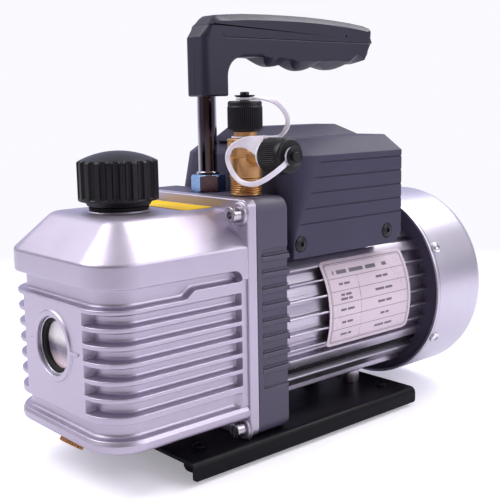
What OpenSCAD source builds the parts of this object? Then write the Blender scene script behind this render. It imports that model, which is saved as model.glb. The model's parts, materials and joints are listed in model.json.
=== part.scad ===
// Portable single-stage rotary vane vacuum pump.
// X is to the right, Y runs back along the shaft, Z is up.
// The origin is on the floor, under the shaft, at the joint between oil case and pump body.

/* [Pump casing] */
// Width of the pump body and of the oil case flange
casing_w = 116; // [112:1:120]
// Thickness of the dark pump body along the shaft
body_t = 25.3; // [25:0.1:28]
// Thickness of the oil case flange with its gasket
flange_t = 7; // [6:0.5:8]
// Distance from the flange seam to the front face of the oil case
case_len = 104.5; // [102:0.5:110]
// Depth of the cooling grooves round the oil case
groove_depth = 5; // [3:0.5:5]
// Number of cooling grooves round the oil case
groove_count = 6; // [4:1:6]

/* [Motor] */
// Radius over the tips of the housing fins
fin_tip_r = 57; // [56:0.5:58]
// Position of the rear end of the motor housing
housing_end = 163; // [160:1:166]
// Radius of the fan cover
cover_r = 68.6; // [68:0.2:70]
// Position of the rear face of the fan cover
cover_end = 216; // [212:1:222]

/* [Pump] */
// Radius of the cylinder bore
bore_r = 27; // [27:0.5:29]
// Distance from the shaft axis down to the bore axis
eccentricity = 4; // [3.5:0.1:4.2]
// Thickness of one vane
vane_t = 4; // [3:0.1:4.5]

/* [Base and handle] */
// Width of the folded base plate
base_w = 126.6; // [124:0.2:130]
// Height of the flat top of the base plate
base_top = 13; // [12:0.5:14]
// Radius of the handle post
post_r = 6; // [5:0.5:6]
// Thickness of the handle grip from side to side
grip_w = 20; // [18:1:24]

/* [Hidden] */
$fn = 64;

// Clearances: between fixed pieces, between running pieces, and the overlap that joins solids
fit = 0.05;
run = 0.05;
eps = 0.01;

// Heights
casing_z0 = base_top;
casing_h = 144;
casing_z1 = casing_z0 + casing_h;
casing_mid = casing_z0 + casing_h / 2;
shaft_z = casing_z0 + 63.7;
bore_z = shaft_z - eccentricity;

// Oil case levels
gasket_t = 0.5;
flange_r = 7;
case_half = casing_w / 2 - 0.4;
case_corner_r = 24.5;
case_z0 = casing_z0 + 13.4;
cavity_z0 = casing_z0 + 20;
lip_z1 = case_z0 + 7.5;
skirt_z0 = case_z0 + 17;
groove_z0 = case_z0 + 21;
groove_pitch = 9.65;
ledge_z = casing_z0 + 92.9;
ledge_rear_z = casing_z0 + 96;
band_z0 = casing_z0 + 104;
band_z1 = casing_z0 + 117;
case_top_z = casing_z0 + 138;
panel_half = 32;
rib_inset = 1.2;
groove_end = -11;
wall_inset = 9.5;
sight_z = casing_z0 + 66;
sight_r = 17;
sight_depth = 8;
cap_y = -55.6;
cap_neck_r = 14;
case_screw_x = 51.5;
case_screw_r = 2.5;
case_boss_h = 1.8;
case_screw_z = [casing_z0 + 6.5, casing_z1 - 8.3];
drain_tilt = 35;
drain_at = [0, -88, case_z0 + 2];
drain_seat = 5;

// Pump
cylinder_screw_at = [[-33, 50], [33, 50], [-33, 96], [33, 96]];
gallery_z = casing_z0 + 77;
rotor_r = bore_r - eccentricity - run;
cylinder_y0 = -44;
cylinder_half = 40;
cylinder_low = 35;
cylinder_top = bore_z + 37;
journal_r = 10;
journal_end = 12;
front_journal_r = 7;
end_plate_y0 = -54;
vane_root = 5;
reed_x = -14;
reed_t = 0.4;
reed_screw_y = [-38, -10];
baffle_screw_x = [-33, 33];

// Bearings (15 x 35 x 11)
bearing_in_r = 7.5;
bearing_out_r = 17.5;
bearing_w = 11;
ball_r = 2.9;
ball_path_r = 12.5;
ball_count = 8;
front_bearing_y = body_t - bearing_w - 0.1;
rear_bearing_y = housing_end + 0.2;
bearing_y = [front_bearing_y, rear_bearing_y];

// Motor
stator_r = 46;
stator_in_r = 26;
stator_y = [62, 130];
slot_count = 12;
housing_y0 = body_t + 0.1;
housing_wall_r = 52;
fin_t = 1.6;
fin_angles = [24.4, 13.8, 3.2, -7.4, -18];
channel_angle = 38;
tie_bolt_r = 2;
tie_bolt_at = 54.6;
rail_half = 31;
rail_z = casing_z0 + 10.5;
cover_wall = 1.8;
cover_y0 = housing_end - 3.3;
cover_edge_r = 10;
bell_r = cover_r - cover_wall - 0.1;
cover_screw_angle = 28;
cover_screw_y = housing_end + 2.8;

// Electrical box
box_z0 = casing_z0 + 104.7;
box_half = casing_w / 2;
box_y = [29, 131];
box_side_z = casing_z0 + 166.5;
box_shoulder_z = casing_z0 + 176.5;
ridge_z = casing_z0 + 183.5;
box_wall = 3;
box_screw_y = [36, 116.4];
box_screw_z = casing_z0 + 113.6;
outlet_z = casing_z0 + 150;
switch_x = 26;
inlet_x = -24;

// Handle
post_at = [-2, 13.2];
grip_z0 = casing_z0 + 203.2;
seam_z = casing_z0 + 239;
nut_h = 10.8;
nut_af = 19;
nut_turn = -6.7;
pin_at = [131.5, seam_z + 4.2];
// Finger lobes under the grip: start, lowest point and end along Y,
// then the height of each of the three above the bottom of the grip
finger_lobes = [
    [49, 63, 78, 26.2, 18.7, 22.8], [78, 91, 105.5, 22.8, 16.3, 22],
    [105.5, 120, 135, 22, 17.2, 22.2], [135, 141, 151, 22.2, 21.4, 23.6]
];

// Inlet fitting
fitting_at = [35, 12.5];
side_port_z = casing_z0 + 168.6;
port_thread_r = 7.9;
port_bore_r = 3.2;
port_cap_r = 10.5;
port_cap_len = 18.2;
top_cap_z = casing_z0 + 182;
side_cap_x = 55.6;

// Feet
foot_x = 44;
foot_y = [-36, 127.5];
foot_r = 9;
sheet_t = 2;
base_y = [-54, 142.4];
lip_z = 2.5;
body_screw_x = 40;
body_screw_y = 12.5;
spacer_at = [20, 122];

// A prism along Y whose section is drawn in X and Z
module prism_y(y0, y1) {
    translate([0, y1, 0]) rotate([90, 0, 0]) linear_extrude(y1 - y0) children();
}

// A prism along X whose section is drawn in Y and Z
module prism_x(x0, x1) {
    translate([x0, 0, 0]) rotate([90, 0, 90]) linear_extrude(x1 - x0) children();
}

module rod_x(y, z, r, x0, x1) {
    translate([x0, y, z]) rotate([0, 90, 0]) cylinder(r = r, h = x1 - x0);
}

module rod_y(x, z, r, y0, y1) {
    translate([x, y0, z]) rotate([-90, 0, 0]) cylinder(r = r, h = y1 - y0);
}

module rod_z(x, y, r, z0, z1) {
    translate([x, y, z0]) cylinder(r = r, h = z1 - z0);
}

module rotate_about_shaft(a) {
    translate([0, 0, shaft_z]) rotate([0, a, 0]) children();
}

module ring_y(z, r0, r1, y0, y1) {
    difference() {
        rod_y(0, z, r1, y0, y1);
        rod_y(0, z, r0, y0 - 1, y1 + 1);
    }
}

module rounded_rect(w, h, r) {
    square([w - 2 * r, h], center = true);
    square([w, h - 2 * r], center = true);
    for (x = [-1, 1], y = [-1, 1])
        translate([x * (w / 2 - r), y * (h / 2 - r)]) circle(r);
}

// A band of a ring between two angles, in degrees from +X
module ring_sector(r0, r1, a0, a1) {
    reach = 1.5 * r1;
    mid = (a0 + a1) / 2;
    intersection() {
        difference() {
            circle(r1);
            circle(r0);
        }
        polygon([
            [0, 0],
            [reach * cos(a0), reach * sin(a0)],
            [reach * cos(mid), reach * sin(mid)],
            [reach * cos(a1), reach * sin(a1)]
        ]);
    }
}

// Plan outline of the oil case, moved inwards by an inset, with round front corners
module case_plan(inset, rear = -flange_t) {
    half = case_half - inset;
    front = -case_len + inset;
    r = case_corner_r - inset;
    translate([-half, front + r]) square([2 * half, rear - front - r]);
    translate([-half + r, front]) square([2 * (half - r), r + 1]);
    for (side = [-1, 1]) translate([side * (half - r), front + r]) circle(r);
}

module case_slab(inset, z0, z1, rear = -flange_t) {
    translate([0, 0, z0]) linear_extrude(z1 - z0) case_plan(inset, rear);
}

// The sloped top of the oil case, between the wide band and the small flat top
module case_hat(inset, z0, z1, rear) {
    flat_half = 35 - 0.7 * inset;
    flat_front = -83 + 0.7 * inset;
    hull() {
        translate([0, 0, z0 - eps]) linear_extrude(eps) case_plan(inset, rear, $fn = 32);
        translate([-flat_half, flat_front, z1 - 1])
            cube([2 * flat_half, rear - flat_front, 1]);
    }
}

module at_drain() {
    translate(drain_at) rotate([-drain_tilt, 0, 0]) mirror([0, 0, 1]) children();
}

/* Base */

module channel_section(w, z0, z1, r) {
    translate([-w / 2, z0]) square([w, z1 - z0 - r]);
    translate([-w / 2 + r, z0]) square([w - 2 * r, z1 - z0]);
    for (side = [-1, 1]) translate([side * (w / 2 - r), z1 - r]) circle(r);
}

module base_plate() {
    bend_r = 4;
    hole_r = 2.1;
    color([0.09, 0.09, 0.1]) difference() {
        prism_y(base_y[0], base_y[1]) difference() {
            channel_section(base_w, lip_z, base_top, bend_r);
            channel_section(base_w - 2 * sheet_t, lip_z - 1, base_top - sheet_t, bend_r - sheet_t);
        }
        for (side = [-1, 1]) {
            for (y = foot_y) rod_z(side * foot_x, y, hole_r, 0, base_top + 1);
            rod_z(side * body_screw_x, body_screw_y, hole_r, 0, base_top + 1);
            rod_z(side * spacer_at[0], spacer_at[1], hole_r, 0, base_top + 1);
        }
    }
}

module rubber_feet() {
    hole_r = 2;
    color([0.07, 0.07, 0.07]) for (side = [-1, 1], y = foot_y) difference() {
        translate([side * foot_x, y, 0]) union() {
            cylinder(r1 = foot_r - 1, r2 = foot_r, h = 2);
            translate([0, 0, 2]) cylinder(r = foot_r, h = base_top - sheet_t - 2);
        }
        rod_z(side * foot_x, y, hole_r, 3, base_top);
    }
}

module button_screw(head_r, head_h, shank_r, shank_len) {
    socket_r = 0.5 * head_r;
    difference() {
        cylinder(r1 = head_r, r2 = 0.7 * head_r, h = head_h);
        translate([0, 0, 0.5 * head_h]) cylinder(r = socket_r, h = head_h, $fn = 6);
    }
    translate([0, 0, -shank_len]) cylinder(r = shank_r, h = shank_len + eps);
}

module foot_screws() {
    color([0.12, 0.12, 0.13]) for (side = [-1, 1], y = foot_y)
        translate([side * foot_x, y, base_top]) button_screw(3.8, 2.2, 1.9, 9.5);
}

module body_screws() {
    head_h = 2.5;
    color([0.6, 0.6, 0.62]) for (side = [-1, 1]) {
        rod_z(side * body_screw_x, body_screw_y, 2, base_top - sheet_t - eps, casing_z0 + 11);
        rod_z(side * body_screw_x, body_screw_y, 3.8, base_top - sheet_t - head_h,
            base_top - sheet_t);
        rod_z(side * spacer_at[0], spacer_at[1], 2, base_top - sheet_t - eps, rail_z + 5);
        rod_z(side * spacer_at[0], spacer_at[1], 3.8, base_top - sheet_t - head_h,
            base_top - sheet_t);
    }
}

module motor_support_spacers() {
    color([0.62, 0.61, 0.65]) for (side = [-1, 1]) difference() {
        rod_z(side * spacer_at[0], spacer_at[1], 6.5, base_top, rail_z);
        rod_z(side * spacer_at[0], spacer_at[1], 2.1, base_top - 1, rail_z + 1);
    }
}

/* Motor */

module housing_section() {
    land_r = fin_tip_r;
    low_r = fin_tip_r + 2;
    difference() {
        union() {
            circle(housing_wall_r);
            for (side = [0, 1]) mirror([side, 0]) {
                for (a = fin_angles)
                    rotate(a) translate([housing_wall_r - 2, -fin_t / 2])
                        square([fin_tip_r - housing_wall_r + 2, fin_t]);
                ring_sector(housing_wall_r - 1, land_r, 33, 41);
                ring_sector(housing_wall_r - 1, land_r, -34, -26);
                ring_sector(housing_wall_r - 1, low_r, -56, -43);
                rotate(90 - channel_angle) translate([housing_wall_r - 1, -6])
                    square([4, 12]);
            }
            for (a = [72:12:108])
                rotate(a) translate([housing_wall_r - 2, -fin_t / 2]) square([4, fin_t]);
            translate([-rail_half, rail_z - shaft_z]) square([2 * rail_half, 12]);
        }
        circle(stator_r + fit);
        for (side = [0, 1], up = [0, 1]) mirror([side, 0]) mirror([0, up])
            rotate(-channel_angle) translate([tie_bolt_at, 0]) circle(tie_bolt_r + 0.3);
        translate([-rail_half + 8, rail_z - shaft_z - 1]) square([2, 6]);
        translate([rail_half - 10, rail_z - shaft_z - 1]) square([2, 6]);
    }
}

module motor_housing() {
    // the fins start behind the ends of the pump body's side ribs
    fin_start = body_t + 2.3;
    color([0.75, 0.74, 0.8]) difference() {
        prism_y(housing_y0, housing_end) translate([0, shaft_z]) housing_section();
        ring_y(shaft_z, housing_wall_r, cover_r, housing_y0 - 1, fin_start);
        for (side = [-1, 1])
            rod_z(side * spacer_at[0], spacer_at[1], 2.05, rail_z - 1, rail_z + 6);
    }
}

module stator_core() {
    color([0.35, 0.36, 0.4]) prism_y(stator_y[0], stator_y[1]) translate([0, shaft_z])
        difference() {
            circle(stator_r);
            circle(stator_in_r);
            for (i = [0:slot_count - 1])
                rotate(i * 360 / slot_count) translate([30, -2.5]) square([10, 5]);
        }
}

module stator_windings() {
    end_h = 14;
    slack = 0.2;
    color([0.72, 0.4, 0.2]) {
        for (y = [stator_y[0] - end_h - slack, stator_y[1] + slack])
            ring_y(shaft_z, 30, 41, y, y + end_h);
        prism_y(stator_y[0] - 1, stator_y[1] + 1) translate([0, shaft_z])
            for (i = [0:slot_count - 1]) rotate(i * 360 / slot_count)
                translate([30 + slack, -2.5 + slack]) square([10 - 2 * slack, 5 - 2 * slack]);
    }
}

module motor_rotor() {
    color([0.5, 0.5, 0.53]) ring_y(shaft_z, journal_r + fit, stator_in_r - 0.4,
        stator_y[0] - 2, stator_y[1] + 2);
}

// Steps of the motor shaft: start, end and radius
shaft_steps = [
    [-2, front_bearing_y - 1, 5],
    [front_bearing_y - 1, body_t + 2, bearing_in_r - 0.02],
    [body_t + 2, housing_end - 1, journal_r],
    [housing_end - 1, housing_end + 13, bearing_in_r - 0.02],
    [housing_end + 13, housing_end + 37, 6]
];

module motor_shaft() {
    color([0.72, 0.73, 0.75]) for (s = shaft_steps)
        rod_y(0, shaft_z, s[2], s[0] - eps, s[1]);
}

// One bearing ring, turned with its ball groove
module bearing_ring(r0, r1) {
    rotate_extrude() difference() {
        translate([r0, -bearing_w / 2]) square([r1 - r0, bearing_w]);
        translate([ball_path_r, 0]) circle(ball_r + 0.1);
    }
}

module at_bearings() {
    for (y = bearing_y) translate([0, y + bearing_w / 2, shaft_z]) rotate([-90, 0, 0])
        children();
}

module bearing_outer_rings() {
    color([0.78, 0.79, 0.8]) at_bearings() bearing_ring(14.2, bearing_out_r);
}

module bearing_inner_rings() {
    color([0.78, 0.79, 0.8]) at_bearings() bearing_ring(bearing_in_r, 10.8);
}

module bearing_balls() {
    color([0.85, 0.86, 0.88]) at_bearings() for (i = [0:ball_count - 1])
        rotate(i * 360 / ball_count) translate([ball_path_r, 0, 0]) sphere(ball_r);
}

module rear_end_bell() {
    plate_t = 5;
    boss_end = rear_bearing_y + bearing_w + 0.3;
    color([0.2, 0.2, 0.23]) difference() {
        union() {
            rod_y(0, shaft_z, bell_r, housing_end + fit, housing_end + plate_t + fit);
            rod_y(0, shaft_z, 23, housing_end + fit, boss_end);
            ring_y(shaft_z, 42, stator_r - fit, housing_end - 6, housing_end + 1);
        }
        rod_y(0, shaft_z, bearing_out_r + fit, rear_bearing_y - 0.01, boss_end + 1);
        rod_y(0, shaft_z, 12, housing_end - 7, boss_end);
        for (a = [1, -1], b = [0, 180])
            translate([0, cover_screw_y, shaft_z]) rotate([0, a * cover_screw_angle + b, 0])
                rotate([0, 90, 0]) translate([0, 0, bell_r - 12]) cylinder(r = 1.55, h = 20);
        for (side = [0, 1], up = [0, 1]) mirror([side, 0, 0])
            translate([0, 0, shaft_z]) mirror([0, 0, up]) rotate([0, channel_angle, 0])
                translate([tie_bolt_at, housing_end - 1, 0]) rotate([-90, 0, 0])
                    cylinder(r = tie_bolt_r + 0.1, h = 10);
        for (i = [0:5]) rotate_about_shaft(i * 60 + 30) translate([33, housing_end - 1, 0])
            rotate([-90, 0, 0]) cylinder(r = 5, h = 10);
    }
}

module motor_tie_bolts() {
    head_y = housing_end + 5 + fit;
    color([0.7, 0.7, 0.72]) for (side = [0, 1], up = [0, 1]) mirror([side, 0, 0])
        translate([0, 0, shaft_z]) mirror([0, 0, up]) rotate([0, channel_angle, 0])
            translate([tie_bolt_at, 0, 0]) rotate([-90, 0, 0]) {
                translate([0, 0, body_t - 9]) cylinder(r = tie_bolt_r, h = head_y - body_t + 9);
                translate([0, 0, head_y]) cylinder(r = 4.2, h = 3.5, $fn = 6);
            }
}

module cooling_fan() {
    hub_y = housing_end + 13.2;
    blade_count = 9;
    color([0.15, 0.15, 0.16]) difference() {
        union() {
            rod_y(0, shaft_z, 13, hub_y, hub_y + 20);
            rod_y(0, shaft_z, 54, hub_y, hub_y + 2);
            for (i = [0:blade_count - 1]) rotate_about_shaft(i * 360 / blade_count)
                translate([12, hub_y, -1]) cube([46, 22, 2]);
        }
        rod_y(0, shaft_z, 6 + 0.02, hub_y - 1, hub_y + 30);
    }
}

module fan_cover() {
    inner_r = cover_r - cover_wall;
    len = cover_end - cover_y0;
    vent_count = 16;
    vent_w = 4;
    vent_r = [22, 50];
    color([0.78, 0.77, 0.83]) difference() {
        translate([0, cover_y0, shaft_z]) rotate([-90, 0, 0]) rotate_extrude() difference() {
            union() {
                square([cover_r, len - cover_edge_r]);
                square([cover_r - cover_edge_r, len]);
                translate([cover_r - cover_edge_r, len - cover_edge_r]) circle(cover_edge_r);
            }
            translate([-1, -1]) square([inner_r + 1, len - cover_edge_r + 1]);
            translate([-1, -1])
                square([inner_r - cover_edge_r + cover_wall + 1, len - cover_wall + 1]);
            translate([cover_r - cover_edge_r, len - cover_edge_r])
                circle(cover_edge_r - cover_wall);
            translate([-2 * cover_r, -cover_r]) square([2 * cover_r, 4 * cover_r]);
        }
        for (i = [0:vent_count - 1]) rotate_about_shaft(i * 360 / vent_count)
            translate([vent_r[0], cover_end - 5, -vent_w / 2])
                cube([vent_r[1] - vent_r[0], 10, vent_w]);
        rod_y(0, shaft_z, 7, cover_end - 5, cover_end + 1);
        for (a = [1, -1], b = [0, 180])
            translate([0, cover_screw_y, shaft_z]) rotate([0, a * cover_screw_angle + b, 0])
                rotate([0, 90, 0]) translate([0, 0, bell_r - 12]) cylinder(r = 1.7, h = 30);
    }
}

module fan_cover_screws() {
    head_h = 2.4;
    color([0.85, 0.85, 0.88]) for (a = [1, -1], b = [0, 180])
        translate([0, cover_screw_y, shaft_z]) rotate([0, a * cover_screw_angle + b, 0])
            rotate([0, 90, 0]) {
                translate([0, 0, bell_r - 10]) cylinder(r = 1.5, h = 10 + cover_wall);
                difference() {
                    translate([0, 0, cover_r + 0.03]) cylinder(r1 = 3.8, r2 = 2.8, h = head_h);
                    for (turn = [0, 90]) rotate(turn)
                        translate([-2.2, -0.4, cover_r + 1.4]) cube([4.4, 0.8, 2]);
                }
            }
}

/* Pump */

module body_section() {
    translate([0, casing_mid]) rounded_rect(casing_w, casing_h, 8);
}

module pump_body() {
    panel_z = [casing_z0 + 29, casing_z0 + 114];
    panel_mid_z = (panel_z[0] + panel_z[1]) / 2;
    panel_mid_y = 14.7;
    rib_pitch = 9.8;
    rib_count = 8;
    rib_y = [3.9, 27.3];
    rib_w = 5;
    rib_t = 3;
    recess = 1.6;
    screw_depth = 14;
    thread_r = 2.05;
    color([0.24, 0.24, 0.29]) difference() {
        union() {
            difference() {
                prism_y(0, body_t) body_section();
                for (side = [-1, 1])
                    translate([side * (casing_w / 2 - recess / 2), panel_mid_y, panel_mid_z])
                        cube([recess + eps, 22, panel_z[1] - panel_z[0]], center = true);
            }
            for (side = [-1, 1], i = [0:rib_count - 1])
                translate([side * (casing_w / 2 - rib_w / 2) - rib_w / 2, rib_y[0],
                    panel_z[1] - 7.5 - i * rib_pitch])
                    cube([rib_w, rib_y[1] - rib_y[0], rib_t]);
        }
        rod_y(0, shaft_z, journal_r + run, -1, front_bearing_y);
        rod_y(0, shaft_z, bearing_out_r + fit, front_bearing_y - 0.02, body_t + 1);
        rod_y(0, shaft_z, 14 + fit, 3, 9);
        rod_z(fitting_at[0], fitting_at[1], 8.5, casing_z1 - 15, casing_z1 + 1);
        rod_z(fitting_at[0], fitting_at[1], 3, gallery_z - 2, casing_z1);
        rod_y(fitting_at[0], gallery_z, 3, -1, fitting_at[1]);
        rod_z(post_at[0], post_at[1], post_r + fit, casing_z1 - 19, casing_z1 + 1);
        for (side = [-1, 1]) {
            for (z = case_screw_z)
                rod_y(side * case_screw_x, z, case_screw_r + fit, -1, screw_depth);
            rod_z(side * body_screw_x, body_screw_y, thread_r, casing_z0 - 1, casing_z0 + 12);
        }
        for (side = [0, 1], up = [0, 1]) mirror([side, 0, 0])
            translate([0, 0, shaft_z]) mirror([0, 0, up]) rotate([0, channel_angle, 0])
                translate([tie_bolt_at, body_t - 10, 0]) rotate([-90, 0, 0])
                    cylinder(r = tie_bolt_r + fit, h = 12);
        cylinder_screw_holes(thread_r, -1, 10);
    }
}

module shaft_seal() {
    color([0.1, 0.1, 0.1]) ring_y(shaft_z, journal_r + run + 0.03, 14, 3.2, 8.8);
}

module cavity_section(inset) {
    half = case_half - inset;
    z0 = cavity_z0;
    z1 = band_z1;
    translate([-half, z0]) square([2 * half, z1 - z0]);
}

module oil_case_gasket() {
    color([0.15, 0.13, 0.12]) difference() {
        prism_y(-gasket_t, 0) translate([0, casing_mid])
            rounded_rect(casing_w - 1, casing_h - 1, flange_r);
        prism_y(-gasket_t - 1, 1) cavity_section(wall_inset);
        for (side = [-1, 1], z = case_screw_z)
            rod_y(side * case_screw_x, z, case_screw_r + 0.3, -2, 1);
    }
}

module cylinder_screw_holes(r, y0, y1) {
    for (at = cylinder_screw_at) rod_y(at[0], at[1], r, y0, y1);
}

module pump_cylinder() {
    h = cylinder_top - cylinder_low;
    color([0.55, 0.55, 0.58]) difference() {
        prism_y(cylinder_y0, -eps) translate([0, cylinder_low + h / 2])
            rounded_rect(2 * cylinder_half, h, 6);
        rod_y(0, bore_z, bore_r, cylinder_y0 - 1, 1);
        cylinder_screw_holes(2.2, cylinder_y0 - 1, 1);
        rod_y(fitting_at[0], gallery_z, 3, -24, 1);
        rod_x(-24, gallery_z, 3, 15, fitting_at[0] + 1);
        for (y = [-30, -24, -18]) rod_z(reed_x, y, 1.5, bore_z + 15, cylinder_top + 1);
        for (y = reed_screw_y) rod_z(reed_x, y, 1.25, cylinder_top - 8, cylinder_top + 1);
    }
}

module pump_rotor() {
    slot = vane_t + 2 * run;
    color([0.62, 0.63, 0.66]) difference() {
        union() {
            rod_y(0, shaft_z, rotor_r, cylinder_y0 + run, -run);
            rod_y(0, shaft_z, journal_r, -1, journal_end);
            rod_y(0, shaft_z, front_journal_r, end_plate_y0 + 1, cylinder_y0 + 1);
        }
        translate([-bore_r, cylinder_y0 - eps, shaft_z - slot / 2])
            cube([2 * bore_r, -cylinder_y0 - 4, slot]);
        rod_y(0, shaft_z, 5 + 0.02, -3, journal_end + 1);
    }
}

module vane(side) {
    y0 = cylinder_y0 + 2 * run;
    len = -cylinder_y0 - 4 - 3 * run;
    tip = rotor_r - 0.2;
    translate([0, 0, shaft_z]) mirror([side, 0, 0]) {
        translate([vane_root, y0, -vane_t / 2]) cube([tip - vane_root - vane_t / 2, len, vane_t]);
        rod_y(tip - vane_t / 2, 0, vane_t / 2, y0, y0 + len);
    }
}

module vane_a() {
    color([0.3, 0.26, 0.22]) vane(0);
}

module vane_b() {
    color([0.3, 0.26, 0.22]) vane(1);
}

// A coil spring along X made of rings joined by a straight bar
module vane_springs() {
    coils = 5;
    span = 2 * vane_root - 1.2;
    color([0.75, 0.75, 0.78]) for (y = [-34, -14]) {
        for (i = [0:coils - 1])
            translate([-span / 2 + i * span / (coils - 1), y, shaft_z]) rotate([0, 90, 0])
                rotate_extrude() translate([1.3, 0]) circle(0.35, $fn = 16);
        rod_x(y, shaft_z + 1.3, 0.3, -span / 2, span / 2);
    }
}

module cylinder_end_plate() {
    h = cylinder_top - cylinder_low;
    color([0.5, 0.5, 0.53]) difference() {
        prism_y(end_plate_y0, cylinder_y0) translate([0, cylinder_low + h / 2])
            rounded_rect(2 * cylinder_half, h, 6);
        rod_y(0, shaft_z, front_journal_r + run, end_plate_y0 + 0.9, cylinder_y0 + 1);
        cylinder_screw_holes(2.2, end_plate_y0 - 1, cylinder_y0 + 1);
    }
}

module end_plate_screws() {
    head_h = 4;
    color([0.3, 0.3, 0.32]) {
        cylinder_screw_holes(2, end_plate_y0 - eps, 8);
        difference() {
            cylinder_screw_holes(3.5, end_plate_y0 - head_h, end_plate_y0);
            for (at = cylinder_screw_at)
                translate([at[0], end_plate_y0 - head_h - 1, at[1]]) rotate([-90, 0, 0])
                    cylinder(r = 1.7, h = 3.5, $fn = 6);
        }
    }
}

module exhaust_reed() {
    color([0.8, 0.81, 0.83]) translate([reed_x - 4, -34, cylinder_top + 0.02])
        cube([8, 20, reed_t]);
}

module reed_stop() {
    z = cylinder_top;
    color([0.6, 0.61, 0.64]) difference() {
        union() {
            translate([reed_x - 5, -42, z + 2.5]) cube([10, 36, 1.5]);
            for (y = [-42, -13.4]) translate([reed_x - 5, y, z]) cube([10, 7.4, 2.6]);
        }
        for (y = reed_screw_y) rod_z(reed_x, y, 1.45, z - 1, z + 6);
    }
}

module reed_screws() {
    z = cylinder_top + 4;
    color([0.75, 0.75, 0.78]) for (y = reed_screw_y) {
        rod_z(reed_x, y, 1.2, z - 11, z + eps);
        difference() {
            rod_z(reed_x, y, 2.7, z, z + 2);
            translate([reed_x - 3, y - 0.35, z + 1.1]) cube([6, 0.7, 2]);
        }
    }
}

module oil_baffle() {
    z = cylinder_top + 10;
    half = 44;
    sheet = 1.5;
    foot = 9.5;
    color([0.7, 0.71, 0.73]) difference() {
        union() {
            translate([-half, -88, z]) cube([2 * half, 86.5, sheet]);
            translate([-half, -sheet - eps, z - foot]) cube([2 * half, sheet, foot + sheet]);
        }
        for (x = [-30:15:30], y = [-76:14:-48]) rod_z(x, y, 3, z - 1, z + 3);
        for (x = baffle_screw_x) rod_y(x, z - 5, 1.7, -5, 1);
    }
}

/* Oil case */

module case_outer() {
    case_slab(0.3, case_z0, lip_z1);
    case_slab(5.5, lip_z1 - eps, skirt_z0 + eps);
    case_slab(rib_inset, skirt_z0, groove_z0);
    case_slab(rib_inset + groove_depth, groove_z0 - eps, ledge_z);
    for (i = [1:groove_count]) {
        z = ledge_z - 1.2 - (i - 1) * groove_pitch;
        case_slab(rib_inset, z - 1.2, z + 1.2);
    }
    case_slab(6.5, ledge_z - eps, band_z0 + eps);
    case_slab(0, band_z0, band_z1);
    case_hat(0, band_z1, case_top_z, -flange_t);
    // flat front panel that closes the grooves
    translate([-panel_half, -case_len + rib_inset, groove_z0 - eps])
        cube([2 * panel_half, 12, ledge_z - groove_z0 + eps]);
    // stepped ledge, and the strip that closes grooves and neck beside the flange
    prism_x(-case_half + rib_inset, case_half - rib_inset) polygon([
        [-52, ledge_z - 2], [-52, ledge_z], [-44, ledge_rear_z],
        [-flange_t, ledge_rear_z], [-flange_t, ledge_z - 2]
    ]);
    translate([-case_half + rib_inset, groove_end, lip_z1 - eps])
        cube([2 * (case_half - rib_inset), -groove_end - flange_t, band_z0 - lip_z1 + 2 * eps]);
}

module sight_ring_and_marks() {
    rod_y(0, sight_z, sight_r + 3.6, -case_len + 0.2, -case_len + 6);
    for (side = [-1, 1])
        translate([side * 24 - 3, -case_len + 0.5, sight_z - 0.6]) cube([6, 5, 1.2]);
}

module oil_case() {
    boss_r = 6.4;
    color([0.78, 0.76, 0.84]) difference() {
        union() {
            prism_y(-flange_t, -gasket_t) translate([0, casing_mid])
                rounded_rect(casing_w, casing_h, flange_r);
            case_outer();
            sight_ring_and_marks();
            rod_z(0, cap_y, cap_neck_r + 4, case_top_z - 2, case_top_z + 1);
            for (side = [-1, 1], z = case_screw_z)
                rod_y(side * case_screw_x, z, boss_r, -flange_t - case_boss_h, -flange_t + 1);
            at_drain() cylinder(r = 10, h = drain_seat);
        }
        case_slab(wall_inset, cavity_z0, band_z1 + eps, 1);
        case_hat(wall_inset, band_z1, case_top_z - 4, -flange_t - 2);
        rod_y(0, sight_z, sight_r, -case_len - 1, -case_len + sight_depth);
        rod_y(0, sight_z, sight_r - 3.5, -case_len, -case_len + 14);
        rod_z(0, cap_y, cap_neck_r + fit, case_top_z - 12, case_top_z + 2);
        for (side = [-1, 1], z = case_screw_z)
            rod_y(side * case_screw_x, z, case_screw_r + fit, -flange_t - 6, 1);
        at_drain() translate([0, 0, -14]) cylinder(r = 5 + fit, h = 24);
        at_drain() translate([0, 0, drain_seat]) cylinder(r = 8, h = 12);
    }
}

module oil_case_screws() {
    head_y = -flange_t - case_boss_h;
    head_r = 4.6;
    head_h = 6.2;
    socket_r = 2.5;
    socket_depth = 3;
    color([0.75, 0.74, 0.78]) for (side = [-1, 1], z = case_screw_z) {
        rod_y(side * case_screw_x, z, case_screw_r, head_y - eps, 12);
        difference() {
            rod_y(side * case_screw_x, z, head_r, head_y - head_h, head_y);
            translate([side * case_screw_x, head_y - head_h - 1, z]) rotate([-90, 0, 0])
                cylinder(r = socket_r, h = socket_depth + 1, $fn = 6);
        }
    }
}

module sight_ring_part(r0, r1, depth0, depth1) {
    difference() {
        rod_y(0, sight_z, r1, -case_len + depth0, -case_len + depth1);
        rod_y(0, sight_z, r0, -case_len + depth0 - 1, -case_len + depth1 + 1);
    }
}

module sight_glass_ring() {
    color([0.7, 0.69, 0.74]) sight_ring_part(15.7, sight_r - fit, 2.4, 3.6);
}

module sight_glass_gasket() {
    color([0.05, 0.05, 0.05]) sight_ring_part(13.7, sight_r - fit, 3.6, 6.2);
}

module sight_glass() {
    color([0.8, 0.85, 0.9, 0.4])
        rod_y(0, sight_z, sight_r - fit, -case_len + 6.2, -case_len + sight_depth - 0.02);
}

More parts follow.
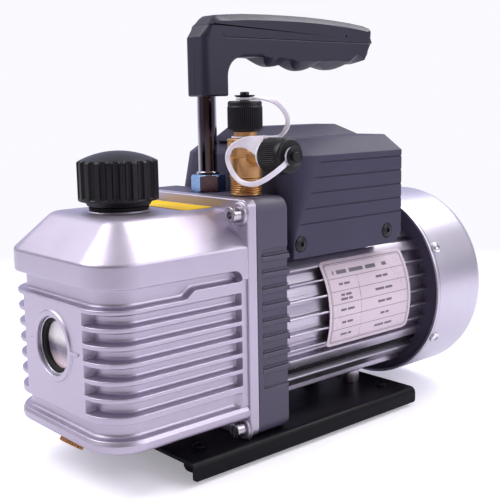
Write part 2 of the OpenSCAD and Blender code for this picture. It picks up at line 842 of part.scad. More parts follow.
module oil_fill_cap() {
    z0 = case_top_z + 1;
    skirt_z = z0 + 5.5;
    top_z = skirt_z + 22.5;
    outer_r = 23.5;
    flute_count = 20;
    dome_h = 6;
    dome_r = (outer_r * outer_r + dome_h * dome_h) / (2 * dome_h);
    color([0.08, 0.08, 0.09]) difference() {
        translate([0, cap_y, 0]) union() {
            translate([0, 0, z0 - 9]) cylinder(r = cap_neck_r - 0.1, h = 10);
            translate([0, 0, z0 + 2.4]) cylinder(r1 = 18.2, r2 = 20, h = skirt_z - z0 - 2.4 + eps);
            translate([0, 0, z0 + fit]) cylinder(r = 15, h = 3);
            translate([0, 0, skirt_z]) cylinder(r = outer_r, h = top_z - skirt_z);
            intersection() {
                translate([0, 0, top_z + dome_h - dome_r]) sphere(dome_r);
                translate([0, 0, top_z - eps]) cylinder(r = outer_r, h = dome_h + 1);
            }
        }
        for (i = [0:flute_count - 1])
            translate([0, cap_y, skirt_z + 2.6]) rotate(i * 360 / flute_count)
                translate([outer_r + 0.6, 0, 0]) cylinder(r = 2.2, h = 30);
        rod_z(0, cap_y, 9, z0 - 10, skirt_z + 6);
    }
}

module oring(r, wire_r) {
    rotate_extrude() translate([r, 0]) circle(wire_r, $fn = 24);
}

module oil_cap_oring() {
    color([0.04, 0.04, 0.04]) translate([0, cap_y, case_top_z + 1 + 1.2]) oring(16.4, 1.15);
}

module drain_plug() {
    head_z = 6.6;
    head_h = 6;
    head_r = 7.6;
    neck_r = 4.3;
    knurls = 28;
    slot_w = 1.2;
    slot_depth = 1.5;
    color([0.75, 0.55, 0.2]) at_drain() {
        translate([0, 0, -6]) cylinder(r = 4.95, h = 6 + drain_seat - 0.1);
        translate([0, 0, drain_seat - 0.2]) cylinder(r = neck_r, h = head_z - drain_seat + 0.3);
        difference() {
            translate([0, 0, head_z]) cylinder(r = head_r, h = head_h);
            for (i = [0:knurls - 1]) rotate(i * 360 / knurls)
                translate([head_r, 0, head_z + 0.6]) cylinder(r = 0.4, h = head_h - 1.2, $fn = 4);
            translate([-head_r, -slot_w / 2, head_z + head_h - slot_depth])
                cube([2 * head_r, slot_w, slot_depth + 1]);
        }
    }
}

module drain_oring() {
    wire_r = 0.75;
    color([0.04, 0.04, 0.04]) at_drain()
        translate([0, 0, drain_seat + wire_r + fit]) oring(5.5, wire_r);
}

module case_label() {
    color([0.98, 0.78, 0.05])
        translate([-32, -30.5, case_top_z]) cube([61, 22, 0.3]);
}

module rating_label() {
    color([0.92, 0.88, 0.93]) prism_y(62, 143) translate([0, shaft_z])
        ring_sector(fin_tip_r + 0.02, fin_tip_r + 0.35, -22, 36);
}

/* Inlet */

module inlet_fitting() {
    x = fitting_at[0];
    y = fitting_at[1];
    z = casing_z1;
    neck_z = z + 34;
    color([0.8, 0.6, 0.25]) difference() {
        union() {
            rod_z(x, y, 8.4, z - 14, z + eps);
            rod_z(x, y, 9.5, z, z + 10.5 + eps);
            rod_z(x, y, 10, z + 10.5, z + 23);
            rod_z(x, y, 11, z + 23 - eps, z + 34);
            rod_z(x, y, 6.8, neck_z - eps, neck_z + 4.5);
            rod_z(x, y, port_thread_r - 0.1, top_cap_z - 0.5, top_cap_z + 12);
            rod_x(y, side_port_z, 7, x + 5, x + 18);
            rod_x(y, side_port_z, 6.2, x + 17, side_cap_x + 1);
            rod_x(y, side_port_z, port_thread_r - 0.1, side_cap_x - 0.5, side_cap_x + 12);
        }
        rod_z(x, y, port_bore_r, z - 16, top_cap_z + 14);
        rod_z(x, y, 5.5, z - 16, z + 4);
        rod_x(y, side_port_z, port_bore_r, x, side_cap_x + 14);
    }
}

module inlet_filter_screen() {
    x = fitting_at[0];
    y = fitting_at[1];
    color([0.7, 0.7, 0.7]) difference() {
        union() {
            translate([x, y, casing_z1 - 12]) cylinder(r1 = 2.2, r2 = 4.6, h = 12);
            rod_z(x, y, 5.4, casing_z1, casing_z1 + 1.5);
        }
        translate([x, y, casing_z1 - 11.4]) cylinder(r1 = 1.9, r2 = 4.1, h = 13.5);
    }
}

// A knurled port cap with its tether rivet, standing on its open end
module port_cap() {
    skirt_r = 8.7;
    grip_len = 14;
    color([0.09, 0.09, 0.1]) difference() {
        union() {
            cylinder(r = skirt_r, h = 2);
            difference() {
                translate([0, 0, 1.6]) cylinder(r = port_cap_r, h = grip_len - 1.6);
                for (i = [0:35]) rotate(i * 10) translate([port_cap_r + 0.1, 0, 0])
                    cylinder(r = 0.45, h = grip_len, $fn = 4);
            }
            translate([0, 0, grip_len - eps])
                cylinder(r = port_cap_r - 0.3, h = port_cap_len - grip_len);
            translate([0, 0, port_cap_len - 1]) cylinder(r = 2.7, h = 6.2);
            translate([0, 0, port_cap_len + 2.1]) cylinder(r1 = 5.6, r2 = 6.2, h = 1.1);
        }
        translate([0, 0, -1]) cylinder(r = port_thread_r, h = grip_len - 1);
    }
}

module top_port_cap() {
    translate([fitting_at[0], fitting_at[1], top_cap_z]) port_cap();
}

module side_port_cap() {
    translate([side_cap_x, fitting_at[1], side_port_z]) rotate([0, 90, 0]) port_cap();
}

module flat_ring(r0, r1, h) {
    difference() {
        cylinder(r = r1, h = h);
        translate([0, 0, -1]) cylinder(r = r0, h = h + 2);
    }
}

// A strap that joins a list of points with straight runs
module strap(points) {
    strap_r = 0.8;
    for (i = [0:len(points) - 2]) hull() {
        translate(points[i]) sphere(strap_r, $fn = 12);
        translate(points[i + 1]) sphere(strap_r, $fn = 12);
    }
}

module top_tether() {
    x = fitting_at[0];
    y = fitting_at[1];
    ring_z = top_cap_z + port_cap_len + 0.25;
    neck_ring_z = casing_z1 + 34.2;
    color([0.93, 0.91, 0.95]) {
        translate([x, y, ring_z]) flat_ring(2.85, 5.3, 1.6);
        translate([x, y, neck_ring_z]) flat_ring(6.95, 9.4, 1.6);
        strap([
            [x + 4.4, y + 2.5, ring_z + 0.8], [x + 12.5, y + 10, ring_z + 0.5],
            [x + 17.5, y + 15, ring_z - 6], [x + 15, y + 13, ring_z - 17],
            [x + 6.8, y + 5.6, neck_ring_z + 0.9]
        ]);
    }
}

module side_tether() {
    x = side_cap_x + port_cap_len + 0.25;
    y = fitting_at[1];
    z = side_port_z;
    neck_x = fitting_at[0] + 18.2;
    color([0.93, 0.91, 0.95]) {
        translate([x, y, z]) rotate([0, 90, 0]) flat_ring(2.85, 5.3, 1.6);
        translate([neck_x, y, z]) rotate([0, 90, 0]) flat_ring(6.4, 8.8, 1.6);
        strap([
            [x + 0.8, y - 3.6, z - 2.6], [x + 0.7, y - 10, z - 7], [x - 6, y - 14.5, z - 13],
            [x - 19, y - 16.5, z - 17], [x - 33, y - 17, z - 10], [x - 36, y - 16, z + 1],
            [neck_x + 0.9, y - 5.6, z + 5.2]
        ]);
    }
}

/* Handle */

module handle_post() {
    color([0.85, 0.85, 0.88]) {
        rod_z(post_at[0], post_at[1], post_r, casing_z1 - 18, grip_z0 + 20);
        rod_z(post_at[0], post_at[1], 7.3, casing_z1 + nut_h + fit, casing_z1 + nut_h + 1.8);
    }
}

module handle_lock_nut() {
    color([0.6, 0.65, 0.75]) difference() {
        translate([post_at[0], post_at[1], casing_z1]) rotate(nut_turn)
            cylinder(r = nut_af / sqrt(3), h = nut_h, $fn = 6);
        rod_z(post_at[0], post_at[1], post_r + fit, casing_z1 - 1, casing_z1 + nut_h + 1);
    }
}

// Height of the underside of a lobe above the bottom of the grip, at a place along Y
function lobe_rise(lobe, y) = y < lobe[1]
    ? lobe[4] + (lobe[3] - lobe[4]) * pow((y - lobe[1]) / (lobe[0] - lobe[1]), 2)
    : lobe[4] + (lobe[5] - lobe[4]) * pow((y - lobe[1]) / (lobe[2] - lobe[1]), 2);

module grip_section() {
    throat_r = 13.4;
    front_y = 4.2;
    socket_rear_y = 24.6;
    lobe_steps = 6;
    difference() {
        polygon(concat(
            [[front_y, grip_z0], [socket_rear_y, grip_z0], [socket_rear_y, grip_z0 + 12.6],
                [socket_rear_y + throat_r, grip_z0 + 26], [45, grip_z0 + 26.3]],
            [for (lobe = finger_lobes, k = [0:lobe_steps - 1])
                let (y = lobe[0] + (lobe[2] - lobe[0]) * k / lobe_steps)
                    [y, grip_z0 + lobe_rise(lobe, y)]],
            [[151, grip_z0 + 23.6], [153.6, grip_z0 + 25.2], [155.8, grip_z0 + 27.8],
                [157.2, grip_z0 + 31], [158.4, seam_z], [22, seam_z], [19.2, seam_z + 1.3],
                [14.6, seam_z + 5.6], [11.8, seam_z + 7.2], [9.4, seam_z + 7.4],
                [front_y, seam_z]]
        ));
        translate([socket_rear_y + throat_r, grip_z0 + 26 - throat_r]) circle(throat_r);
    }
}

module handle_grip() {
    color([0.2, 0.2, 0.24]) difference() {
        prism_x(post_at[0] - grip_w / 2, post_at[0] + grip_w / 2) grip_section();
        rod_z(post_at[0], post_at[1], post_r + fit, grip_z0 - 1, grip_z0 + 21);
    }
}

module handle_top_cover() {
    gap = 0.2;
    side_step = 0.45;
    color([0.22, 0.22, 0.26]) difference() {
        prism_x(post_at[0] - grip_w / 2 + side_step, post_at[0] + grip_w / 2 - side_step) polygon([
            [9.6, seam_z + 7.4 + gap], [11.9, seam_z + 7.2 + gap], [14.8, seam_z + 5.6 + gap],
            [19.4, seam_z + 1.3 + gap], [22.1, seam_z + gap], [158.5, seam_z + gap],
            [159.6, seam_z + 7.6], [157.6, seam_z + 11.2], [154.4, seam_z + 12.5],
            [125, seam_z + 15], [97, seam_z + 16], [64, seam_z + 16], [40, seam_z + 15.3],
            [28, seam_z + 14.5], [16.2, seam_z + 13.4], [13.4, seam_z + 11.6]
        ]);
        rod_x(pin_at[0], pin_at[1], 1.05, -40, 40);
    }
}

module handle_cover_pin() {
    color([0.05, 0.05, 0.05])
        rod_x(pin_at[0], pin_at[1], 1, post_at[0] - grip_w / 2 + 1, post_at[0] + grip_w / 2 - 1);
}

/* Electrical box */

// Outer shape of the box, moved inwards by an inset
module box_shell(inset) {
    half = box_half - inset;
    y0 = box_y[0] + inset;
    y1 = box_y[1] - inset;
    hull() {
        translate([-half, y0, box_z0]) cube([2 * half, y1 - y0 - 6, 1]);
        translate([-half, y0 + 4, box_z0 + 6]) cube([2 * half, y1 - y0 - 4, 1]);
        translate([-half, y0 + 4, box_side_z - inset]) cube([2 * half, y1 - y0 - 4, eps]);
        translate([-36, y0, box_side_z + 2.5 - inset]) cube([72, 20, eps]);
        translate([-43, y0 + 10, box_shoulder_z - inset]) cube([86, y1 - y0 - 10, eps]);
    }
}

module box_ridge() {
    hull() {
        translate([-22, box_y[0] + 5, box_shoulder_z - 1]) cube([44, box_y[1] - box_y[0] - 7, 1]);
        translate([-10, box_y[0] + 7, ridge_z - eps]) cube([20, box_y[1] - box_y[0] - 20, eps]);
    }
}

module electrical_box() {
    line_count = 5;
    color([0.23, 0.23, 0.28]) difference() {
        union() {
            box_shell(0);
            box_ridge();
        }
        difference() {
            box_shell(box_wall);
            translate([-70, 0, 0]) cube([140, 140, box_z0 + box_wall]);
        }
        rod_y(0, shaft_z, fin_tip_r + 0.3, 20, 140);
        for (side = [-1, 1]) {
            for (i = [0:line_count - 1])
                translate([side * box_half - 0.4, box_y[0] + 6.5 + 4.4 * i, box_z0 + 20.5 + 9.2 * i])
                    cube([0.8, 110, 0.8]);
            for (y = box_screw_y) {
                rod_x(y, box_screw_z, 1.6, side * 55 - 5, side * 55 + 5);
                rod_x(y, box_screw_z, 4.9, side * 58 - 1, side * 58 + 1);
            }
        }
        translate([switch_x - 9.5, box_y[1] - 5, outlet_z - 6.5]) cube([19, 10, 13]);
        translate([inlet_x - 13.5, box_y[1] - 5, outlet_z - 10]) cube([27, 10, 20]);
    }
}

module electrical_box_screws() {
    color([0.06, 0.06, 0.07]) for (side = [-1, 1], y = box_screw_y)
        translate([side * 57, y, box_screw_z]) rotate([0, side * 90, 0]) {
            difference() {
                translate([0, 0, 0.02]) cylinder(r = 4.7, h = 2);
                translate([0, 0, 0.8]) cylinder(r = 1.5, h = 3, $fn = 6);
            }
            translate([0, 0, -5]) cylinder(r = 1.5, h = 5 + 0.03);
        }
}

module run_capacitor() {
    color([0.85, 0.85, 0.8]) {
        rod_y(22, casing_z0 + 145, 14, 50, 105);
        rod_y(22, casing_z0 + 145, 12, 105 - eps, 107);
    }
}

module switch_body() {
    y = box_y[1];
    color([0.06, 0.06, 0.06]) difference() {
        union() {
            translate([switch_x - 10.5, y + 0.02, outlet_z - 7.5]) cube([21, 2, 15]);
            translate([switch_x - 9.3, y - 12, outlet_z - 6.3]) cube([18.6, 12.1, 12.6]);
        }
        translate([switch_x - 8, y - 8, outlet_z - 5]) cube([16, 12, 10]);
    }
}

module rocker() {
    y = box_y[1];
    rest_tilt = -8;
    color([0.75, 0.08, 0.06]) prism_x(switch_x - 7.6, switch_x + 7.6)
        translate([y - 1, outlet_z]) rotate(rest_tilt) difference() {
            circle(4.7);
            translate([3.4, -6]) square([5, 12]);
        }
}

module power_inlet() {
    y = box_y[1];
    color([0.07, 0.07, 0.07]) difference() {
        union() {
            translate([inlet_x - 15.5, y + 0.02, outlet_z - 12]) cube([31, 2.5, 24]);
            translate([inlet_x - 13.3, y - 16, outlet_z - 9.8]) cube([26.6, 16.1, 19.6]);
        }
        translate([inlet_x - 12, y - 13, outlet_z - 8]) cube([24, 20, 16]);
    }
    color([0.8, 0.8, 0.8]) for (pin = [[-7, 1.5], [7, 1.5], [0, -2.5]])
        translate([inlet_x + pin[0] - 1, y - 13 - eps, outlet_z + pin[1] - 2]) cube([2, 12, 4]);
}

base_plate();
rubber_feet();
foot_screws();
body_screws();
motor_support_spacers();
motor_housing();
stator_core();
stator_windings();
motor_rotor();
motor_shaft();
bearing_outer_rings();
bearing_inner_rings();
bearing_balls();
rear_end_bell();
cooling_fan();
fan_cover();
fan_cover_screws();
motor_tie_bolts();
pump_body();
shaft_seal();
oil_case_gasket();
pump_cylinder();
pump_rotor();
vane_a();
vane_b();
vane_springs();
cylinder_end_plate();
end_plate_screws();
exhaust_reed();
reed_stop();
reed_screws();
oil_baffle();
oil_case();
oil_case_screws();
sight_glass();
sight_glass_gasket();
sight_glass_ring();
oil_fill_cap();
oil_cap_oring();
drain_plug();
drain_oring();
case_label();
rating_label();
inlet_fitting();
inlet_filter_screen();
top_port_cap();
side_port_cap();
top_tether();
side_tether();
handle_post();
handle_lock_nut();
handle_grip();
handle_top_cover();
handle_cover_pin();
electrical_box();
electrical_box_screws();
run_capacitor();
switch_body();
rocker();
power_inlet();
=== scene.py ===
"""Looks of the rotary vane vacuum pump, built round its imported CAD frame.

Lengths are in millimetres unless said. +Y runs to the motor and +Z is up. The origin is on the floor below
the shaft, at the joint face between oil case and pump body.
"""

import json
import math
import random

import bmesh
import bpy
from mathutils import Matrix, Vector


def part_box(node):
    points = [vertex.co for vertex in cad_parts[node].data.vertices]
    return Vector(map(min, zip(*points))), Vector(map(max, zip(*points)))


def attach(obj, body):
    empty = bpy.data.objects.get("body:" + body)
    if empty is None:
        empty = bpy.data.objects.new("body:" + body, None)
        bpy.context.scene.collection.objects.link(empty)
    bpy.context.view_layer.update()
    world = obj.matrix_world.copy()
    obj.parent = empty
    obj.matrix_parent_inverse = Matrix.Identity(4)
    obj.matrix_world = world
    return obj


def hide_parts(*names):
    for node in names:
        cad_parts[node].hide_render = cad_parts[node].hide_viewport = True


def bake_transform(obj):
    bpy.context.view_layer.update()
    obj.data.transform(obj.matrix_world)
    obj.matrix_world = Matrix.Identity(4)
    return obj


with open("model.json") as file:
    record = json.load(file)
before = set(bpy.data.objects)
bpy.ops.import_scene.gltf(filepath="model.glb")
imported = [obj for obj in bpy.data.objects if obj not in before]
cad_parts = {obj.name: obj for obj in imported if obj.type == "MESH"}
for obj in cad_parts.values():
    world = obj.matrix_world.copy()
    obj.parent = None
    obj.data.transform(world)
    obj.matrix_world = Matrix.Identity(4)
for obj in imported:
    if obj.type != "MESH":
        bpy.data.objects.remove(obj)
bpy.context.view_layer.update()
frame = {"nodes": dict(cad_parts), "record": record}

MM = 0.001
X, Y, Z = Vector((1, 0, 0)), Vector((0, 1, 0)), Vector((0, 0, 1))


# Places taken from the frame


def node_box(node):
    """Lowest and highest corner of a CAD node at rest."""
    low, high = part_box(node)
    return low / MM, high / MM


CASE_LO, CASE_HI = node_box("oil_case")
BODY_LO, BODY_HI = node_box("pump_body")
SHAFT_Z = sum(node_box("motor_shaft")[i].z for i in (0, 1)) / 2
FLOOR_Z = node_box("rubber_feet")[0].z


# Materials


class Graph:
    """Short calls that add nodes to one material, or to the world."""

    def __init__(self, name, owner=None):
        self.material = owner or bpy.data.materials.new(name)
        self.material.use_nodes = True
        self.tree = self.material.node_tree
        self.shader = self.tree.nodes.get("Principled BSDF")
        self.place = self.add("TexCoord").outputs["Object"]

    def feed(self, socket, value):
        if isinstance(value, bpy.types.NodeSocket):
            self.tree.links.new(value, socket)
        elif isinstance(value, (tuple, list)) and len(value) == 3 and socket.type == "RGBA":
            socket.default_value = (*value, 1)
        else:
            socket.default_value = value

    def add(self, kind, settings=None, **inputs):
        node = self.tree.nodes.new("ShaderNode" + kind)
        for key, value in (settings or {}).items():
            setattr(node, key, value)
        for key, value in inputs.items():
            self.feed(node.inputs[key.replace("_", " ")], value)
        return node

    def stretched(self, scale, turn=(0, 0, 0)):
        node = self.add("Mapping", Vector=self.place)
        node.inputs["Scale"].default_value = scale
        node.inputs["Rotation"].default_value = [math.radians(a) for a in turn]
        return node.outputs[0]

    def noise(self, scale, detail=2.0, roughness=0.5, vector=None):
        node = self.add(
            "TexNoise", Vector=vector or self.place, Scale=scale, Detail=detail, Roughness=roughness
        )
        return node.outputs[0]

    def value(self, operation, a, b=0.0):
        node = self.add("Math", {"operation": operation})
        self.feed(node.inputs[0], a)
        self.feed(node.inputs[1], b)
        return node.outputs[0]

    def spread(self, source, low, high, from_low=0.3, from_high=0.7):
        node = self.add("MapRange")
        for index, number in enumerate((source, from_low, from_high, low, high)):
            self.feed(node.inputs[index], number)
        return node.outputs[0]

    def mix(self, share, a, b):
        node = self.add("Mix", {"data_type": "RGBA"})
        self.feed(node.inputs[0], share)
        self.feed(node.inputs[6], a)
        self.feed(node.inputs[7], b)
        return node.outputs[2]

    def sideways(self, low, high):
        """0 where the surface faces the eye, rising to 1 where it turns away."""
        return self.spread(self.add("LayerWeight", Blend=0.5).outputs["Facing"], 0, 1, low, high)

    def edges(self, radius):
        """1 on edges sharper than the radius in metres, and 0 on open faces."""
        rounded = self.add("Bevel", {"samples": 4}, Radius=radius).outputs[0]
        flat = self.add("NewGeometry").outputs["Normal"]
        node = self.add("VectorMath", {"operation": "DOT_PRODUCT"})
        self.feed(node.inputs[0], rounded)
        self.feed(node.inputs[1], flat)
        return self.spread(node.outputs["Value"], 1.0, 0.0, 0.86, 0.985)

    def bump(self, height, depth, below=None):
        """Raises the surface by a height map of 0 to 1, depth in metres."""
        node = self.add("Bump", Height=height, Distance=depth, Strength=1.0)
        if below:
            self.feed(node.inputs["Normal"], below)
        return node.outputs[0]

    def finish(self, **inputs):
        for key, value in inputs.items():
            self.feed(self.shader.inputs[key.replace("_", " ")], value)
        return self.material


def shade(colour, factor):
    return tuple(min(1.0, c * factor) for c in colour)


def surface(
    name, colour, metallic=0.0, rough=(0.35, 0.5), grain=1200, depth=0.00003, contrast=0.08,
    stretch=(1, 1, 1), worn=None, worn_share=0.5, edge=0.0005, coat=0.0, shine=0.5,
):
    """A finish with grain, patchy colour and roughness, and worn edges."""
    g = Graph(name)
    along = g.stretched(stretch)
    patches = g.noise(28, 4, 0.6)
    fine = g.noise(grain, 3, 0.6, along)
    tone = g.mix(g.spread(patches, 0, 1), shade(colour, 1 - contrast), shade(colour, 1 + contrast))
    tone = g.mix(g.spread(fine, 0, 0.5), tone, shade(colour, 1 - 2 * contrast))
    if worn:
        patchy = g.spread(g.noise(160, 4, 0.7), 0.25, 1)
        share = g.value("MULTIPLY", g.edges(edge), g.value("MULTIPLY", patchy, worn_share))
        tone = g.mix(share, tone, worn)
    uneven = g.value("ADD", g.value("MULTIPLY", patches, 0.6), g.value("MULTIPLY", fine, 0.4))
    return g.finish(
        Base_Color=tone,
        Metallic=metallic,
        Roughness=g.spread(uneven, rough[0], rough[1]),
        Normal=g.bump(fine, depth),
        Coat_Weight=coat,
        Coat_Roughness=0.25,
        Specular_IOR_Level=shine,
    )


def chrome():
    g = Graph("chrome")
    marks = g.noise(900, 4, 0.7, g.stretched((1, 1, 0.05)))
    haze = g.noise(60, 3)
    bright = g.mix(g.spread(haze, 0, 1), (0.78, 0.78, 0.82), (0.9, 0.9, 0.93))
    return g.finish(
        # Painted reflection: the base colour is dark where the surface faces the eye and bright towards its
        # rims.
        Base_Color=g.mix(g.sideways(0.3, 0.62), (0.1, 0.08, 0.09), bright),
        Metallic=1.0,
        Roughness=g.spread(haze, 0.04, 0.11),
        Normal=g.bump(marks, 0.000002),
    )


def zinc(name, low, high, painted_facing_reflection=None):
    """Zinc plate in two patchy tones; the optional third tone is a painted dark reflection, put on flats that
    face the eye.
    """
    g = Graph(name)
    patches = g.noise(120, 4, 0.7)
    scratches = g.noise(1500, 3, 0.6, g.stretched((1, 1, 0.1), (30, 0, 0)))
    tone = g.mix(g.spread(patches, 0, 1), low, high)
    if painted_facing_reflection:
        # painted reflection: flats that face the eye turn to the darker tone
        tone = g.mix(g.sideways(0.16, 0.34), painted_facing_reflection, tone)
    return g.finish(
        Base_Color=tone,
        Metallic=1.0,
        Roughness=g.spread(scratches, 0.18, 0.36),
        Normal=g.bump(scratches, 0.000008),
    )


def laminated_steel():
    g = Graph("laminated_steel")
    wave = g.add("TexWave", {"wave_type": "BANDS", "bands_direction": "Y"}, Vector=g.place)
    wave.inputs["Scale"].default_value = 320
    wave.inputs["Distortion"].default_value = 0.4
    sheets = wave.outputs["Fac"]
    patches = g.noise(90, 4)
    tone = g.mix(g.spread(sheets, 0, 1), (0.16, 0.16, 0.19), (0.42, 0.43, 0.47))
    return g.finish(
        Base_Color=g.mix(g.spread(patches, 0, 0.6), tone, (0.25, 0.21, 0.19)),
        Metallic=0.9,
        Roughness=g.spread(patches, 0.35, 0.55),
        Normal=g.bump(sheets, 0.00015),
    )


def copper_wire():
    g = Graph("copper_wire")
    wave = g.add("TexWave", {"wave_type": "RINGS", "rings_direction": "Y"}, Vector=g.place)
    wave.inputs["Scale"].default_value = 420
    wave.inputs["Distortion"].default_value = 1.5
    wires = wave.outputs["Fac"]
    patches = g.noise(70, 3)
    tone = g.mix(g.spread(patches, 0, 1), (0.55, 0.22, 0.09), (0.78, 0.36, 0.16))
    return g.finish(
        Base_Color=g.mix(g.spread(wires, 0.6, 0), tone, (0.2, 0.07, 0.03)),
        Metallic=0.8,
        Roughness=g.spread(patches, 0.25, 0.4),
        Coat_Weight=0.6,
        Normal=g.bump(wires, 0.0003),
    )


def sight_glass():
    """Glass that is pale above, dark round the middle and pinkish where the oil stands."""
    g = Graph("clear_glass")
    streaks = g.noise(90, 4, 0.6)
    level = g.add("SeparateXYZ", Vector=g.place).outputs["Z"]
    height = g.value("ADD", level, g.spread(streaks, -0.001, 0.001))
    middle = (SHAFT_Z + 2) * MM
    upper = g.mix(g.spread(height, 0, 1, middle - 0.001, middle + 0.004), (0.2, 0.17, 0.25), (1.0, 0.98, 1.0))
    tone = g.mix(g.spread(height, 1, 0, middle - 0.011, middle - 0.004), upper, (0.95, 0.76, 0.84))
    return g.finish(
        Base_Color=tone,
        Roughness=g.spread(streaks, 0.06, 0.2),
        Transmission_Weight=0.25,
        IOR=1.45,
        Normal=g.bump(streaks, 0.00004),
    )


def milky_plastic():
    g = Graph("tether_plastic")
    cloud = g.noise(140, 4, 0.6)
    return g.finish(
        Base_Color=g.mix(g.spread(cloud, 0, 1), (0.7, 0.66, 0.76), (0.82, 0.79, 0.87)),
        Roughness=g.spread(cloud, 0.28, 0.42),
        Subsurface_Weight=0.3,
        Subsurface_Radius=(0.0012, 0.0011, 0.0012),
        Subsurface_Scale=1.0,
        Normal=g.bump(g.noise(700, 2), 0.00001),
    )


MATERIALS = {
    "cast_aluminium": surface(
        "cast_aluminium", (0.475, 0.43, 0.535), 0.85, (0.34, 0.47), 1500, 0.00006, 0.05,
        worn=(0.95, 0.94, 0.98), worn_share=0.7, edge=0.0006,
    ),
    "extruded_aluminium": surface(
        "extruded_aluminium", (0.5, 0.46, 0.55), 0.92, (0.26, 0.4), 1300, 0.00002, 0.06,
        stretch=(1, 0.02, 1), worn=(0.95, 0.94, 0.98), worn_share=0.7, edge=0.0004,
    ),
    "spun_aluminium": surface(
        "spun_aluminium", (0.54, 0.51, 0.6), 0.9, (0.3, 0.38), 900, 0.00001, 0.035,
        stretch=(0.02, 1, 0.02),
    ),
    "dark_painted_casting": surface(
        "dark_painted_casting", (0.06, 0.05, 0.092), 0.0, (0.42, 0.56), 1100, 0.00007, 0.12,
        worn=(0.16, 0.155, 0.2), worn_share=0.35, edge=0.0005,
    ),
    "black_painted_steel": surface(
        "black_painted_steel", (0.004, 0.0036, 0.006), 0.0, (0.3, 0.46), 900, 0.00004, 0.15,
        worn=(0.08, 0.08, 0.1), worn_share=0.5, edge=0.0005, shine=0.12,
    ),
    "dark_plastic": surface(
        "dark_plastic", (0.047, 0.043, 0.08), 0.0, (0.44, 0.58), 1700, 0.00005, 0.1,
        worn=(0.12, 0.115, 0.16), worn_share=0.3, edge=0.0006, shine=0.22,
    ),
    "handle_plastic": surface(
        "handle_plastic", (0.0125, 0.011, 0.029), 0.0, (0.4, 0.54), 1700, 0.00005, 0.1,
        worn=(0.09, 0.085, 0.13), worn_share=0.3, edge=0.0006, shine=0.4,
    ),
    "black_plastic": surface(
        "black_plastic", (0.006, 0.005, 0.008), 0.0, (0.3, 0.46), 1400, 0.00004, 0.2,
        worn=(0.05, 0.048, 0.06), worn_share=0.35, edge=0.0004, shine=0.3,
    ),
    "red_plastic": surface("red_plastic", (0.6, 0.02, 0.015), 0.0, (0.15, 0.3), 900, 0.00001, 0.08, coat=0.4),
    "tether_plastic": milky_plastic(),
    "rubber": surface("rubber", (0.01, 0.009, 0.011), 0.0, (0.6, 0.8), 900, 0.0001, 0.25, shine=0.3),
    "brass": surface(
        "brass", (0.6, 0.34, 0.15), 1.0, (0.33, 0.46), 1400, 0.00003, 0.14,
        stretch=(0.03, 0.03, 1), worn=(0.95, 0.75, 0.4), worn_share=0.6, edge=0.0003,
    ),
    "chrome": chrome(),
    "zinc_plated_steel": zinc("zinc_plated_steel", (0.66, 0.63, 0.68), (0.82, 0.8, 0.85)),
    # the last tone is a painted dark reflection on the nut's flats that face the eye
    "blue_zinc": zinc("blue_zinc", (0.24, 0.42, 0.74), (0.36, 0.56, 0.84), (0.13, 0.085, 0.09)),
    # A darker copy of the zinc plate: painted shade for the oil case screws.
    "zinc_painted_shade": zinc("zinc_painted_shade", (0.4, 0.37, 0.42), (0.56, 0.53, 0.58)),
    "steel": surface("steel", (0.5, 0.5, 0.54), 1.0, (0.25, 0.4), 1200, 0.00002, 0.1, stretch=(1, 0.05, 1)),
    "hardened_steel": surface("hardened_steel", (0.66, 0.67, 0.7), 1.0, (0.1, 0.2), 1500, 0.000005, 0.06),
    "laminated_steel": laminated_steel(),
    "copper_wire": copper_wire(),
    "cast_iron": surface("cast_iron", (0.3, 0.3, 0.32), 0.9, (0.4, 0.6), 800, 0.0001, 0.15),
    "vane_composite": surface(
        "vane_composite", (0.05, 0.04, 0.033), 0.0, (0.35, 0.55), 1200, 0.00004, 0.25, stretch=(0.1, 1, 1),
    ),
    "clear_glass": sight_glass(),
    "yellow_label": surface(
        "yellow_label", (1.0, 0.64, 0.002), 0.0, (0.4, 0.5), 600, 0.00001, 0.02, shine=0.1,
    ),
    "white_label": surface("white_label", (0.62, 0.52, 0.6), 0.0, (0.24, 0.36), 600, 0.00001, 0.03, coat=0.4),
    "cream_film": surface("cream_film", (0.7, 0.66, 0.56), 0.0, (0.2, 0.35), 500, 0.00001, 0.06, coat=0.3),
    "gasket": surface("gasket", (0.03, 0.026, 0.024), 0.0, (0.7, 0.85), 700, 0.0001, 0.25),
    "printed_ink": surface("printed_ink", (0.15, 0.13, 0.16), 0.0, (0.3, 0.45), 700, 0.00001, 0.2),
}


# Mesh building


def fillet(points, radius=0.0, steps=4, closed=True):
    """A 2-D outline with round corners; a point may carry its own radius as a third number. Every rounded
    corner gives steps + 1 points, even where the outline runs straight on."""
    out = []
    count = len(points)
    for i, point in enumerate(points):
        r = point[2] if len(point) > 2 else radius
        here = Vector(point[:2])
        if r <= 0 or (not closed and i in (0, count - 1)):
            out.append(tuple(here))
            continue
        before = Vector(points[i - 1][:2]) - here
        after = Vector(points[(i + 1) % count][:2]) - here
        room = 0.49 * min(before.length, after.length)
        if room < 1e-9:
            out.extend([tuple(here)] * (steps + 1))
            continue
        u, v = before.normalized(), after.normalized()
        half = u.angle(v, math.pi) / 2
        if half > math.radians(89.5):
            reach = min(room, r)
            for k in range(steps + 1):
                t = k / steps
                out.append(tuple(here + u * reach * (1 - t) * 0.3 + v * reach * t * 0.3))
            continue
        reach = min(room, r / math.tan(half))
        r = reach * math.tan(half)
        centre = here + (u + v).normalized() * (r / math.sin(half))
        first, last = here + u * reach - centre, here + v * reach - centre
        a0 = math.atan2(first.y, first.x)
        turn = math.atan2(last.y, last.x) - a0
        turn = (turn + math.pi) % (2 * math.pi) - math.pi
        for k in range(steps + 1):
            a = a0 + turn * k / steps
            out.append((centre.x + r * math.cos(a), centre.y + r * math.sin(a)))
    return out


